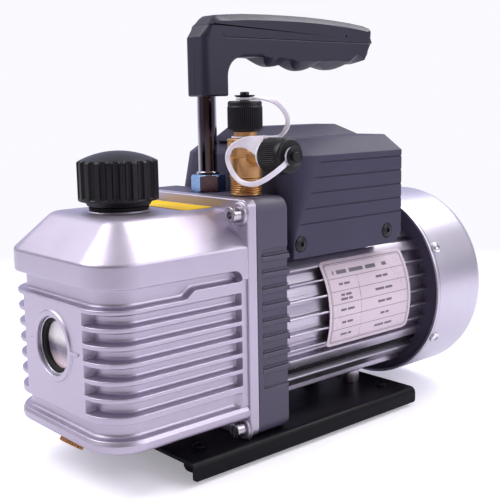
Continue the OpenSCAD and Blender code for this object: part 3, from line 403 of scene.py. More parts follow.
def facing(origin, along, up=None):
    """Matrix that takes local +Z to a direction, with local +X as near as it can be to another."""
    z = Vector(along).normalized()
    x = Vector(up) if up else (X if abs(z.x) < 0.9 else Y)
    x = (x - z * x.dot(z)).normalized()
    y = z.cross(x)
    m = Matrix((x, y, z)).transposed().to_4x4()
    m.translation = Vector(origin)
    return m


class Shape:
    """Closed surfaces gathered into one mesh."""

    def __init__(self):
        self.verts = []
        self.faces = []

    def rings(self, rings, closed=False):
        """Joins rings of equal length; the two ends are capped unless the rings close on themselves."""
        start, n, count = len(self.verts), len(rings[0]), len(rings)
        for ring in rings:
            self.verts.extend(Vector(p) for p in ring)
        for i in range(count if closed else count - 1):
            a, b = start + i * n, start + ((i + 1) % count) * n
            for k in range(n):
                m = (k + 1) % n
                self.faces.append((a + k, a + m, b + m, b + k))
        if not closed:
            self.faces.append(tuple(range(start + n - 1, start - 1, -1)))
            self.faces.append(tuple(range(start + (count - 1) * n, start + count * n)))
        return self

    def lathe(self, profile, place, segments=96, wobble=None):
        """Turns (radius, height) points about local +Z. wobble(angle, radius, height) gives a new radius."""
        rings = []
        for r, h in profile:
            ring = []
            for i in range(segments):
                a = 2 * math.pi * i / segments
                radius = wobble(a, r, h) if wobble else r
                ring.append(place @ Vector((radius * math.cos(a), radius * math.sin(a), h)))
            rings.append(ring)
        return self.rings(rings)

    def ring(self, profile, place, segments=96, wobble=None):
        """Turns a closed (radius, height) outline that stays off the axis."""
        rings = []
        for i in range(segments):
            a = 2 * math.pi * i / segments
            radii = [wobble(a, r, h) if wobble else r for r, h in profile]
            rings.append([
                place @ Vector((radius * math.cos(a), radius * math.sin(a), h))
                for radius, (_, h) in zip(radii, profile)
            ])
        return self.rings(rings, closed=True)

    def prism(self, outline, place, low, high):
        """Draws a 2-D outline along local +Z."""
        return self.rings([[place @ Vector((x, y, h)) for x, y in outline] for h in (low, high)])

    def block(self, low, high):
        outline = [(low[0], low[1]), (high[0], low[1]), (high[0], high[1]), (low[0], high[1])]
        return self.prism(outline, Matrix.Identity(4), low[2], high[2])

    def object(self, name):
        mesh = bpy.data.meshes.new(name)
        mesh.from_pydata([v * MM for v in self.verts], [], self.faces)
        bm = bmesh.new()
        bm.from_mesh(mesh)
        bmesh.ops.remove_doubles(bm, verts=bm.verts, dist=2e-7)
        bmesh.ops.dissolve_degenerate(bm, edges=bm.edges, dist=1e-8)
        bmesh.ops.recalc_face_normals(bm, faces=bm.faces)
        bm.to_mesh(mesh)
        bm.free()
        made = bpy.data.objects.new(name, mesh)
        bpy.context.scene.collection.objects.link(made)
        return made


def apply_modifiers(thing):
    graph = bpy.context.evaluated_depsgraph_get()
    graph.update()
    mesh = bpy.data.meshes.new_from_object(thing.evaluated_get(graph))
    thing.modifiers.clear()
    old = thing.data
    thing.data = mesh
    bpy.data.meshes.remove(old)


def combine(thing, others, operation):
    """Cuts others away from a closed mesh, or joins them to it, and deletes them."""
    for other in others:
        step = thing.modifiers.new("combine", "BOOLEAN")
        step.operation = operation
        step.solver = "MANIFOLD"
        step.object = other
        apply_modifiers(thing)
        bpy.data.objects.remove(other)
    bm = bmesh.new()
    bm.from_mesh(thing.data)
    bmesh.ops.dissolve_degenerate(bm, edges=bm.edges, dist=0.00001)
    bmesh.ops.dissolve_limit(bm, angle_limit=math.radians(0.3), verts=bm.verts, edges=bm.edges)
    bm.to_mesh(thing.data)
    bm.free()
    return thing


def bevelled(thing, width, segments=3, angle=30):
    step = thing.modifiers.new("bevel", "BEVEL")
    step.width = width * MM
    step.segments = segments
    step.limit_method = "ANGLE"
    step.angle_limit = math.radians(angle)
    step.harden_normals = False
    apply_modifiers(thing)
    return thing


def settle(thing, slot, body="root", stands_for=(), sharp=38, material=None):
    """Gives a finished mesh its material, smooth shading and body."""
    mesh = thing.data
    mesh.materials.clear()
    mesh.materials.append(MATERIALS[material or slot])
    mesh.polygons.foreach_set("use_smooth", [True] * len(mesh.polygons))
    mesh.set_sharp_from_angle(angle=math.radians(sharp))
    if body:
        smooth = thing.modifiers.new("smooth", "WEIGHTED_NORMAL")
        smooth.keep_sharp = True
        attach(thing, body)
    if stands_for:
        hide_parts(*stands_for)
    return thing


# Outlines and small parts used by several pieces


def rounded_rect(w, h, r, steps=8, centre=(0, 0)):
    """A rectangle with round corners; r is one radius, or one for each of the two sides along X."""
    low, high = r if isinstance(r, tuple) else (r, r)
    corners = [(-w / 2, -h / 2, low), (w / 2, -h / 2, low), (w / 2, h / 2, high), (-w / 2, h / 2, high)]
    return [(x + centre[0], y + centre[1]) for x, y in fillet(corners, 0, steps)]


def soft_slab(shape, w, h, r, place, low, high, edge, centre=(0, 0), low_edge=0.0):
    """A plate with round corners whose upper and lower rims are rounded too."""
    quarter = [math.pi / 2 * k / 3 for k in range(4)]
    levels = [(0, low)]
    if low_edge:
        levels = [(low_edge * (1 - math.sin(a)), low + low_edge * (1 - math.cos(a))) for a in quarter]
    levels += [(edge * (1 - math.cos(a)), high - edge * (1 - math.sin(a))) for a in quarter]
    rings = []
    for inset, level in levels:
        radii = tuple(max(x - inset, 0.05) for x in (r if isinstance(r, tuple) else (r, r)))
        outline = rounded_rect(w - 2 * inset, h - 2 * inset, radii, centre=centre)
        rings.append([place @ Vector((x, y, level)) for x, y in outline])
    return shape.rings(rings)


def smooth_step(value, low, high):
    t = min(1.0, max(0.0, (value - low) / (high - low)))
    return t * t * (3 - 2 * t)


def hexagon(across):
    """Radius of a hexagon of a given width across its flats, by angle."""
    def radius(a):
        return across / 2 / math.cos((a + math.pi / 6) % (math.pi / 3) - math.pi / 6)
    return radius


def cross(length, half_width):
    """Radius of a plus-shaped recess, by angle."""
    def radius(a):
        d = (a + math.pi / 4) % (math.pi / 2) - math.pi / 4
        side = half_width / max(abs(math.sin(d)), 1e-6)
        return min(length / math.cos(d), side)
    return radius


def screw(shape, place, head_r, head_h, recess, depth, shank_r, shank, dome=0.0, edge=0.4):
    """A screw standing on local +Z: shank below 0, head above, and a recess in its top."""
    rim = fillet([(0, 0), (head_r, 0, 0.15), (head_r, head_h, edge), (0, head_h)], 0, 3, closed=False)
    profile = [(0, -shank), (shank_r - 0.3, -shank), (shank_r, -shank + 0.3), (shank_r, 0)]
    profile += [(r, h) for r, h in rim if 0.5 * head_r < r]
    inner = 0.62 * head_r
    top = head_h + dome
    # a radius below 0 stands for the outline of the recess
    profile += [(inner, head_h + dome * 0.8), (-1, top), (-1, top - depth)]
    return shape.lathe(profile, place, 48, lambda a, r, h: recess(a) if r < 0 else r)


def rod(r, low, high, place, segments=24):
    return Shape().lathe([(0, low), (r, low), (r, high), (0, high)], place, segments)


def threaded(low, high, r, pitch, depth, per_turn=8):
    """Rows for a helical thread, and the radius rule that cuts it."""
    count = int((high - low) / pitch * per_turn)
    rows = [(r, low + (high - low) * i / count) for i in range(count + 1)]

    def radius(a, row_r, h):
        if abs(row_r - r) > 1e-6 or not low < h < high:
            return row_r
        phase = (h / pitch - a / (2 * math.pi)) % 1
        near_end = min(1.0, (h - low) / pitch, (high - h) / pitch)
        return r - depth * near_end * (0.5 + 0.5 * math.cos(2 * math.pi * phase))

    return rows, radius


def knurled(count, depth, low, high):
    def radius(a, r, h):
        if not low <= h <= high:
            return r
        return r - depth * (0.5 - 0.5 * math.cos(count * a)) ** 1.5
    return radius


# Oil case

CASE_HALF = CASE_HI.x - 0.4
CASE_FRONT = CASE_LO.y
FLANGE_Y = -7.0
CASE_Z0 = CASE_LO.z + 13.4
CORNER_R = 24.5
LEDGE_Z = CASE_LO.z + 92.9
GROOVE_PITCH = 9.65
BAND_Z0 = CASE_LO.z + 104
BAND_Z1 = CASE_LO.z + 117
FLAT_Z = CASE_LO.z + 138
SIGHT_Z = CASE_LO.z + 66
PANEL_HALF = 32.0
RIB_INSET = 1.2
CASE_SCREWS = [(side * 51.5, z) for side in (-1, 1) for z in (CASE_LO.z + 6.5, CASE_HI.z - 8.3)]
CAP_Y = sum(node_box("oil_cap_oring")[i].y for i in (0, 1)) / 2
DRAIN_TILT = math.radians(35)
DRAIN = facing((0, -88, CASE_Z0 + 2), (0, -math.sin(DRAIN_TILT), -math.cos(DRAIN_TILT)), X)


def case_columns():
    """Plan points round the case, from the flange forward on the right, round the front and back: the point
    on the band, the way inwards, and the matching point on the flat top."""
    flat_half, flat_front, flat_r = 35.0, -83.0, 8.0
    corner_y = CASE_FRONT + CORNER_R
    corner_x = CASE_HALF - CORNER_R
    columns = []
    ys = [-3.0, -7.5, -10.9, -11.2, -11.6, -12.1, -12.7, -13.4, -14.5, -16, -18, -20, -24, -30, -37]
    ys += [-43, -44, -45.2, -46.5, -48, -49.5, -50.8, -52, -53, -58, -64, -70, -75, -79.5]
    for y in ys:
        share = (y + 3) / (corner_y + 3)
        flat_y = -3 + share * (flat_front + flat_r + 3)
        columns.append((Vector((CASE_HALF, y)), Vector((-1, 0)), Vector((flat_half, flat_y))))
    steps = 18
    for k in range(steps + 1):
        a = math.pi / 2 * k / steps
        out = Vector((math.cos(a), -math.sin(a)))
        columns.append((
            Vector((corner_x, corner_y)) + out * CORNER_R, -out,
            Vector((flat_half - flat_r, flat_front + flat_r)) + out * flat_r,
        ))
    for x in (32.95, 32.75, 32.5, 32.25, 32.05, 31.8, 30, 24, 16, 8, 0):
        flat_x = x * (flat_half - flat_r) / corner_x
        columns.append((Vector((x, CASE_FRONT)), Vector((0, 1)), Vector((flat_x, flat_front))))
    mirrored = []
    for point, inward, flat in reversed(columns[:-1]):
        mirrored.append((
            Vector((-point.x, point.y)), Vector((-inward.x, inward.y)), Vector((-flat.x, flat.y))
        ))
    return columns + mirrored


def case_section(x, y):
    """The case wall at a place round it, from the bottom up, as (inset, height, corner radius)."""
    on_side = smooth_step(y, CASE_FRONT + 2, CASE_FRONT + CORNER_R)
    open_end = smooth_step(-y, 10.9, 12.3)
    open_panel = smooth_step(abs(x), PANEL_HALF, PANEL_HALF + 0.9) if y < CASE_FRONT + 2 else 1.0
    groove = open_end * open_panel * (7.2 - 2.0 * on_side)
    recess = 4.6 * smooth_step(-y, 10.9, 16)
    neck = 5.3 * open_end
    rise = 4.3 * smooth_step(y, -52, -44)
    # the neck's upper corner is round where it meets the flange
    round_r = 6.0
    into = max(0.0, min(round_r, y + 11 + round_r))
    neck_top = BAND_Z0 - (round_r - math.sqrt(round_r ** 2 - into ** 2)) * 0.95
    z0, c = CASE_Z0, RIB_INSET
    points = [
        (20, z0, 0), (0.3, z0, 3.4), (0.3, z0 + 5.3, 0.8), (1.5, z0 + 7.5, 0.8),
        (c + recess, z0 + 8.4, 2.8), (c + recess, z0 + 16.3, 1.4), (c, z0 + 17, 0.6),
    ]
    low = z0 + 21
    for i in range(6):
        high = LEDGE_Z - 2.4 - GROOVE_PITCH * (5 - i)
        points += [
            (c, low, 0.55), (c + groove, low + 0.9, 1.9), (c + groove, high - 0.9, 1.9), (c, high, 0.55),
        ]
        low = high + 2.4
    points += [
        (c, LEDGE_Z + rise, 0.8), (c + neck, LEDGE_Z + 0.5 + rise, 2.4), (c + neck, neck_top - 0.4, 1.8),
        (0, neck_top, 0.9), (0.15, BAND_Z1, 0),
    ]
    return points


def make_oil_case():
    columns = case_columns()
    rings = None
    for point, inward, flat in columns:
        wall = fillet(case_section(abs(point.x), point.y), 0, 3, closed=False)[:-1]
        over = flat - point
        slope = over.length
        hat = [(0, BAND_Z1 - 6), (0.15, BAND_Z1, 3.0), (slope, FLAT_Z, 11.0), (slope + 15, FLAT_Z)]
        hat = fillet(hat, 0, 7, closed=False)[1:]
        over = over.normalized()
        column = [(*(point + inward * i), z) for i, z in wall]
        column += [(*(point + over * i), z) for i, z in hat]
        if rings is None:
            rings = [[] for _ in column]
        for ring, place in zip(rings, column):
            ring.append(place)
    case = Shape().rings(rings).object("case")

    away = facing((0, 0, (CASE_LO.z + CASE_HI.z) / 2), -Y, X)
    flange = soft_slab(
        Shape(), 2 * CASE_HI.x, CASE_HI.z - CASE_LO.z, (7, 4.5), away, 0.5, -FLANGE_Y, 0.9
    )
    parts = [flange.object("flange")]
    raised = fillet([(0, 0), (8.0, 0), (6.7, 0.8, 0.8), (6.4, 2.1, 0.5), (0, 2.1)], 0, 4, closed=False)
    for x, z in CASE_SCREWS:
        parts.append(Shape().lathe(raised, facing((x, FLANGE_Y + 0.3, z), -Y), 48).object("boss"))
    front = facing((0, CASE_FRONT + RIB_INSET, SIGHT_Z), -Y, X)
    rim = [(15.8, -3), (20.9, -3), (20.9, -0.02), (20.1, 0.95, 0.5), (17.5, 0.95, 0.3), (16.6, 0.1)]
    parts.append(Shape().ring(fillet(rim, 0, 3), front).object("rim"))
    for side in (-1, 1):
        tick = Shape()
        place = facing((side * 24, CASE_FRONT + RIB_INSET, SIGHT_Z), -Y, X)
        soft_slab(tick, 7.5, 1.7, 0.7, place, -1, 0.9 if side > 0 else 0.5, 0.4)
        parts.append(tick.object("tick"))
    seat = fillet([(0, 0), (19.6, 0), (18.2, 0.55, 0.8), (17.6, 1.5, 0.4), (0, 1.5)], 0, 4, closed=False)
    parts.append(Shape().lathe(seat, Matrix.Translation((0, CAP_Y, FLAT_Z - 0.5)), 72).object("seat"))
    boss = Shape().lathe([(0, -6), (9.4, -6), (9.4, 4.6), (9, 5), (0, 5)], DRAIN, 64)
    parts.append(boss.object("drain_boss"))
    combine(case, parts, "UNION")

    holes = []
    cavity = fillet([(-47.6, 3), (-47.6, CASE_FRONT + 10), (47.6, CASE_FRONT + 10), (47.6, 3)], 15, 8)
    holes.append(Shape().prism(cavity, Matrix.Identity(4), CASE_LO.z + 20, BAND_Z1 - 2).object("cavity"))
    holes.append(Shape().block((-31, -78, BAND_Z1 - 4), (31, 3, FLAT_Z - 5)).object("upper_cavity"))
    glass_hole = [(0, 3), (17, 3), (17, -6.8), (13.5, -6.8), (13.5, -14), (0, -14)]
    holes.append(Shape().lathe(glass_hole, front, 96).object("window"))
    drain_hole = [(0, -16), (5.05, -16), (5.05, 5.001), (8, 5.001), (8, 16), (0, 16)]
    holes.append(Shape().lathe(drain_hole, DRAIN, 64).object("drain_hole"))
    holes.append(rod(14.05, -12, 3, Matrix.Translation((0, CAP_Y, FLAT_Z)), 64).object("fill_hole"))
    for x, z in CASE_SCREWS:
        holes.append(rod(2.55, -6, 9, facing((x, FLANGE_Y, z), -Y)).object("screw_hole"))
    combine(case, holes, "DIFFERENCE")
    case.name = "oil_case_shell"
    settle(case, "cast_aluminium", stands_for=["oil_case"], sharp=32)


def make_case_screws():
    shape = Shape()
    for x, z in CASE_SCREWS:
        place = facing((x, FLANGE_Y - 1.8, z), -Y, X)
        screw(shape, place, 4.6, 6.2, hexagon(4.6), 3.4, 2.5, 20.8, edge=0.6)
    # The screws take the darker zinc copy, which is painted shade.
    settle(
        shape.object("case_screws"), "zinc_plated_steel", stands_for=["oil_case_screws"], sharp=40,
        material="zinc_painted_shade",
    )


def make_sight_glass():
    front = facing((0, CASE_FRONT, SIGHT_Z), -Y, X)
    ring = Shape().ring(fillet([(15.7, -3.58), (16.95, -3.58), (16.95, -2.4), (15.7, -2.4)], 0.35, 3), front)
    settle(ring.object("sight_ring"), "steel", stands_for=["sight_glass_ring"])
    seal = fillet([(13.7, -6.18), (16.95, -6.18), (16.95, -3.62), (13.9, -3.62, 1.2)], 0.3, 5)
    settle(Shape().ring(seal, front).object("sight_seal"), "rubber", stands_for=["sight_glass_gasket"])
    glass = Shape().lathe(
        fillet([(0, -7.98), (16.95, -7.98), (16.95, -6.3), (0, -6.22)], 0.2, 2, closed=False), front
    )
    settle(glass.object("sight_window"), "clear_glass", stands_for=["sight_glass"])


def make_oil_cap():
    base_z = FLAT_Z + 1
    skirt_z = base_z + 5.5
    top_z = skirt_z + 22.5
    r, dome = 23.5, 6.0
    count = 20
    dome_r = (r * r + dome * dome) / (2 * dome)
    flute_from = skirt_z + 2.7

    def fluted(a, radius, h):
        if h < flute_from - 1.6 or radius < 15:
            return radius
        d = (a * count / (2 * math.pi) + 0.5) % 1 - 0.5
        half = 0.31
        if abs(d) >= half:
            return radius
        deep = 1.9 * math.sqrt(1 - (d / half) ** 2) * smooth_step(h, flute_from - 1.6, flute_from)
        return min(radius, r - deep)

    profile = [(0, base_z - 9), (12.9, base_z - 9), (13.9, base_z - 8), (13.9, base_z + 0.06)]
    profile += [(14.9, base_z + 0.06), (15, base_z + 2.3), (17.6, base_z + 2.5), (18.3, base_z + 2.7)]
    profile += [(19.7, skirt_z - 0.5), (20.2, skirt_z), (22.9, skirt_z), (23.4, skirt_z + 0.3)]
    profile += [(r, skirt_z + 0.7)]
    rows = [flute_from - 1.7, flute_from - 1.3, flute_from - 0.9, flute_from - 0.5, flute_from]
    profile += [(r, h) for h in rows + [flute_from + 6, flute_from + 13, top_z - 1.2, top_z - 0.4]]
    for k in range(1, 15):
        radius = r * (1 - (k / 14.5) ** 1.4)
        if k == 1:
            radius = r - 0.35
        h = top_z + math.sqrt(dome_r ** 2 - radius ** 2) - (dome_r - dome)
        profile.append((radius, h))
    profile.append((0, top_z + dome))
    cap = Shape().lathe(profile, Matrix.Translation((0, CAP_Y, 0)), 320, fluted)
    settle(cap.object("oil_cap_body"), "black_plastic", "oil_cap", ["oil_fill_cap"], 42)


def make_drain_plug():
    knurl = knurled(30, 0.7, 7.3, 12.0)
    r = 7.6
    profile = [(0, -6), (4.5, -6), (4.95, -5.4), (4.95, 4.8), (4.3, 4.9), (4.3, 6.6), (r - 0.5, 6.6)]
    profile += [(r, h) for h in (7.0, 7.3, 7.4, 9.5, 11.9, 12.0)]
    profile += [(r - 0.1, 12.2), (r - 0.6, 12.6), (0, 12.6)]
    plug = Shape().lathe(profile, DRAIN, 240, knurl).object("drain_plug_body")
    slot = Shape().prism([(-8, -0.6), (8, -0.6), (8, 0.6), (-8, 0.6)], DRAIN, 11.2, 14)
    combine(plug, [slot.object("slot")], "DIFFERENCE")
    settle(plug, "brass", "drain", ["drain_plug"], 35)


def make_top_label():
    """The yellow sticker on the flat top, left blank."""
    low, high = node_box("case_label")
    w, h = high.x - low.x, high.y - low.y
    centre = ((low.x + high.x) / 2, (low.y + high.y) / 2)
    sheet = soft_slab(Shape(), w, h, 2.2, Matrix.Identity(4), low.z, high.z, 0.1, centre)
    settle(sheet.object("top_label"), "yellow_label", stands_for=["case_label"], sharp=60)


make_oil_case()
make_case_screws()
make_sight_glass()
make_oil_cap()
make_drain_plug()
make_top_label()


# Handle

POST = Vector((-2, 13.2, 0))
GRIP_LO, GRIP_HI = node_box("handle_grip")
SEAM_Z = GRIP_LO.z + 35.8
NUT_TURN = math.radians(-23.3)
# Finger lobes: start, lowest point and end along Y, then the height of each above the bottom of the grip
LOBES = [
    (54, 65, 78, 24.3, 18.7, 22.8), (78, 91, 105.5, 22.8, 16.3, 22.0), (105.5, 120, 135, 22.0, 17.2, 22.2),
    (135, 141, 151, 22.2, 21.4, 24.2),
]


def dense(points, step=2.5):
    """Adds points along the straight runs of a closed outline."""
    out = []
    for i, here in enumerate(points):
        ahead = points[(i + 1) % len(points)]
        gap = math.dist(here, ahead)
        parts = max(1, int(gap / step))
        out += [(here[0] + (ahead[0] - here[0]) * k / parts, here[1] + (ahead[1] - here[1]) * k / parts)
                for k in range(parts)]
    return out


def pillow(shape, outline, place, half, edge_at, steps=5):
    """A slab from an outline, with side edges worn down; edge_at(x, y) gives how far across and how far
    inwards they go there, and whether they are round (1) or flat (0)."""
    area = sum(a[0] * b[1] - b[0] * a[1] for a, b in zip(outline, outline[1:] + outline[:1]))
    turn = 1 if area > 0 else -1
    rows = []
    for i, (x, y) in enumerate(outline):
        back, ahead = Vector(outline[i - 1]), Vector(outline[(i + 1) % len(outline)])
        here = Vector((x, y))
        a, b = (here - back).normalized(), (ahead - here).normalized()
        way = (a + b).normalized()
        inward = Vector((-way.y, way.x)) * turn / max(0.6, math.sqrt(max(0.0, (1 + a.dot(b)) / 2)))
        across, down, round_share = edge_at(x, y)
        move = inward * down if isinstance(down, float) else Vector(down)
        rows.append((here, move, across, round_share))
    near = []
    for k in range(steps + 1):
        a = math.pi / 2 * k / steps
        t = k / steps
        ring = []
        for here, move, across, round_share in rows:
            inset = (1 - math.sin(a)) * round_share + (1 - t) * (1 - round_share)
            level = across * ((1 - math.cos(a)) * round_share + t * (1 - round_share))
            spot = here + move * inset
            ring.append((spot.x, spot.y, level - half))
        near.append(ring)
    far = [[(x, y, -level) for x, y, level in ring] for ring in reversed(near)]
    return shape.rings([[place @ Vector(p) for p in ring] for ring in near + far])


def grip_outline():
    front, low = GRIP_LO.y, GRIP_LO.z
    throat_r = 12.0
    throat = (24.6 + throat_r, low + 23.9 - throat_r)
    points = [(156.4, SEAM_Z), (22, SEAM_Z), (19.2, SEAM_Z + 1.3), (14.6, SEAM_Z + 5.6), (11.8, SEAM_Z + 7.2)]
    points += [(9.4, SEAM_Z + 7.4), (front, SEAM_Z), (front, low + 0.8), (front + 0.8, low), (23.8, low)]
    points += [(24.6, low + 0.8)]
    for k in range(13):
        a = math.pi * (1 - k / 24)
        points.append((throat[0] + throat_r * math.cos(a), throat[1] + throat_r * math.sin(a)))
    points.append((46, low + 24.4))
    for start, lowest, end, z_start, z_low, z_end in LOBES:
        for k in range(17):
            y = start + (end - start) * k / 16
            edge, z_edge = (start, z_start) if y < lowest else (end, z_end)
            points.append((y, low + z_low + (z_edge - z_low) * ((y - lowest) / (edge - lowest)) ** 2))
    points += [(153.2, low + 25.6), (155, low + 28), (155.9, low + 31)]
    unique = [p for i, p in enumerate(points) if math.dist(p, points[i - 1]) > 0.05]
    return dense(unique)


def grip_edge(y, z):
    """How the grip's side edges are worn: depth across, depth or direction inwards, and roundness."""
    low = GRIP_LO.z
    near_front = max(0.0, 1 - (y - GRIP_LO.y) / 10)
    if z < low + 0.9:
        rear = max(0.0, 1 - (24.6 - y) / 7)
        move = (5 * near_front - 3.5 * rear, 1.2 * (1 - (z - low) / 0.9))
        return 1.2 + 3.8 * near_front + 2.3 * rear, move, 1.0
    if z > SEAM_Z - 0.3 and y > 9.3:
        near_front = max(0.0, 1 - (y - 9.4) / 12)
        return 0.5 + 3 * near_front, (3.5 * near_front, -0.5), 1.0
    if y < 12:
        return 5.0, 5.0, 1.0
    for start, _, end, _, _, _ in LOBES:
        if start <= y <= end and z < SEAM_Z - 9:
            swell = max(0.0, math.sin(math.pi * (y - start) / (end - start))) ** 0.8
            return 1.4 + 6.6 * swell, 0.8 + 5.2 * swell, 0.1
    return 3.5, 3.5, 1.0


def cover_outline():
    s, top = SEAM_Z, GRIP_LO.z + 37
    points = [(9.6, s + 7.6), (11.9, s + 7.4), (14.8, s + 5.8), (19.4, s + 1.5), (22.1, s + 0.2)]
    points += [(158.5, s + 0.2), (159.6, top + 6.4), (159.2, top + 8.2), (157.6, top + 10)]
    points += [(154.4, top + 11.3), (140, top + 12.8), (125, top + 13.8), (111, top + 14.4)]
    points += [(97, top + 14.8), (80, top + 14.9), (64, top + 14.8)]
    points += [(52, top + 14.5), (40, top + 14.1), (28, top + 13.3), (16.2, top + 12.2), (13.4, top + 10.4)]
    return dense(points)


def cover_edge(y, z):
    if y < 22.5 and z < SEAM_Z + 7.8 and z < SEAM_Z + 0.4 + (23 - y) * 0.8:
        near_front = max(0.0, 1 - (y - 9.6) / 12)
        return 0.5 + 3 * near_front, (3.5 * near_front, 0.5), 1.0
    if z < SEAM_Z + 1:
        return 0.5, 0.5, 1.0
    if y > 156.5:
        return 4.0, 3.0, 0.8
    share = smooth_step(y, 10, 26)
    return 3.6 + 1.8 * share, 3.4 + 0.8 * share, 0.6 - 0.5 * share


def flat_sides(thing):
    """Keeps the flat sides evenly shaded up to their rims."""
    bm = bmesh.new()
    bm.from_mesh(thing.data)
    for edge in bm.edges:
        flats = [abs(face.normal.x) > 0.9995 for face in edge.link_faces]
        if any(flats) and not all(flats):
            edge.smooth = False
    bm.to_mesh(thing.data)
    bm.free()


def make_handle():
    across = Matrix(((0, 0, 1, POST.x), (1, 0, 0, 0), (0, 1, 0, 0), (0, 0, 0, 1)))
    half = (GRIP_HI.x - GRIP_LO.x) / 2
    grip = pillow(Shape(), grip_outline(), across, half, grip_edge).object("grip")
    socket = Shape().lathe(
        [(0, -3), (7.3, -3), (6.05, 0.9), (6.05, 21), (0, 21)],
        Matrix.Translation((POST.x, POST.y, GRIP_LO.z)),
    )
    seam = Shape().block(
        (POST.x - 0.15, GRIP_LO.y - 1, GRIP_LO.z - 1), (POST.x + 0.15, GRIP_LO.y + 0.25, SEAM_Z - 5)
    )
    combine(grip, [socket.object("socket"), seam.object("parting")], "DIFFERENCE")
    settle(grip, "dark_plastic", stands_for=["handle_grip"], sharp=34, material="handle_plastic")
    flat_sides(grip)

    cover = pillow(Shape(), cover_outline(), across, half - 0.45, cover_edge).object("cover")
    pin_lo, pin_hi = node_box("handle_cover_pin")
    pin = (pin_lo + pin_hi) / 2
    hole = rod(1.05, -15, 15, facing((POST.x, pin.y, pin.z), X))
    combine(cover, [hole.object("pin_hole")], "DIFFERENCE")
    settle(cover, "dark_plastic", stands_for=["handle_top_cover"], sharp=34, material="handle_plastic")
    flat_sides(cover)


def make_post():
    low, high = node_box("handle_post")
    nut_top = node_box("handle_lock_nut")[1].z
    place = Matrix.Translation((POST.x, POST.y, 0))
    post = Shape().lathe([
        (0, low.z), (5.2, low.z), (6, low.z + 0.8), (6, nut_top + 0.05), (7.1, nut_top + 0.05),
        (7.3, nut_top + 0.25), (7.3, nut_top + 1.2), (6.9, nut_top + 1.7), (6.3, nut_top + 1.85),
        (6.0, nut_top + 2.3), (6, high.z - 1), (5, high.z), (0, high.z),
    ], place, 128)
    settle(post.object("post"), "chrome", stands_for=["handle_post"], sharp=40)

    base_z = nut_top - 10.8
    flats = hexagon(19)

    def nut_side(a, r, h):
        reach = flats(a + NUT_TURN)
        if r < 7:
            return r
        slope = 9.3 + min(h - base_z, nut_top - h) / math.tan(math.radians(30))
        return min(reach, slope) if r > 9 else r

    chamfer = (0, 0.15, 0.3, 0.45, 0.6, 0.75, 0.9, 1.0)
    profile = [(6.05, base_z + 0.7), (6.9, base_z), (8.4, base_z)] + [(10, base_z + t) for t in chamfer]
    profile += [(10, nut_top - 5.4)] + [(10, nut_top - t) for t in reversed(chamfer)]
    profile += [(8.4, nut_top), (6.9, nut_top), (6.05, nut_top - 0.7)]
    nut = Shape().ring(profile, place, 192, nut_side).object("lock_nut")
    settle(nut, "zinc_plated_steel", stands_for=["handle_lock_nut"], sharp=20, material="blue_zinc")


# Inlet

PORT = Vector((35, 12.5, 0))
SIDE_Z = CASE_LO.z + 168.6
TOP_CAP = node_box("top_port_cap")[0].z
SIDE_CAP = node_box("side_port_cap")[0].x
STRAP_W = 3.0


def make_fitting():
    z = CASE_HI.z
    up = Matrix.Translation((PORT.x, PORT.y, 0))
    side = facing((0, PORT.y, SIDE_Z), X, Y)
    rows, low_cut = threaded(z + 0.8, z + 10.2, 9.6, 1.35, 0.85)
    body = [(0, z - 14), (8.4, z - 14), (8.4, z - 0.05), (8.9, z + 0.05)] + rows
    body += [(9.2, z + 10.5), (9.9, z + 11.1), (10.1, z + 22), (10.6, z + 23), (11, z + 23.6), (11, z + 31.4)]
    body += [(10.6, z + 31.8), (10.6, z + 32.3), (11, z + 32.7), (11, z + 33.5), (10.4, z + 34)]
    body += [(7.4, z + 34.05), (6.8, z + 34.3), (6.8, z + 38), (7.3, z + 38.4)]
    top_rows, top_cut = threaded(TOP_CAP, TOP_CAP + 11.2, 7.78, 1.27, 0.6)
    body += [(7.5, TOP_CAP - 0.2)] + top_rows + [(7.1, TOP_CAP + 11.9), (0, TOP_CAP + 12)]
    fitting = Shape().lathe(body, up, 96, lambda a, r, h: low_cut(a, top_cut(a, r, h), h)).object("fitting")

    rows, side_cut = threaded(SIDE_CAP, SIDE_CAP + 11.2, 7.78, 1.27, 0.6)
    arm = [(0, PORT.x + 2), (7, PORT.x + 2), (7, PORT.x + 17.2), (6.7, PORT.x + 17.7), (6.2, PORT.x + 17.9)]
    arm += [(6.2, SIDE_CAP - 0.7), (7.3, SIDE_CAP - 0.3)]
    arm += rows + [(7.1, SIDE_CAP + 11.9), (0, SIDE_CAP + 12)]
    combine(fitting, [Shape().lathe(arm, side, 96, side_cut).object("arm")], "UNION")
    holes = [
        rod(3.2, z - 16, TOP_CAP + 14, up, 40), rod(5.5, z - 16, z + 4, up, 40),
        rod(3.2, PORT.x, SIDE_CAP + 14, side, 40),
    ]
    combine(fitting, [hole.object("bore") for hole in holes], "DIFFERENCE")
    settle(fitting, "brass", stands_for=["inlet_fitting"], sharp=30)


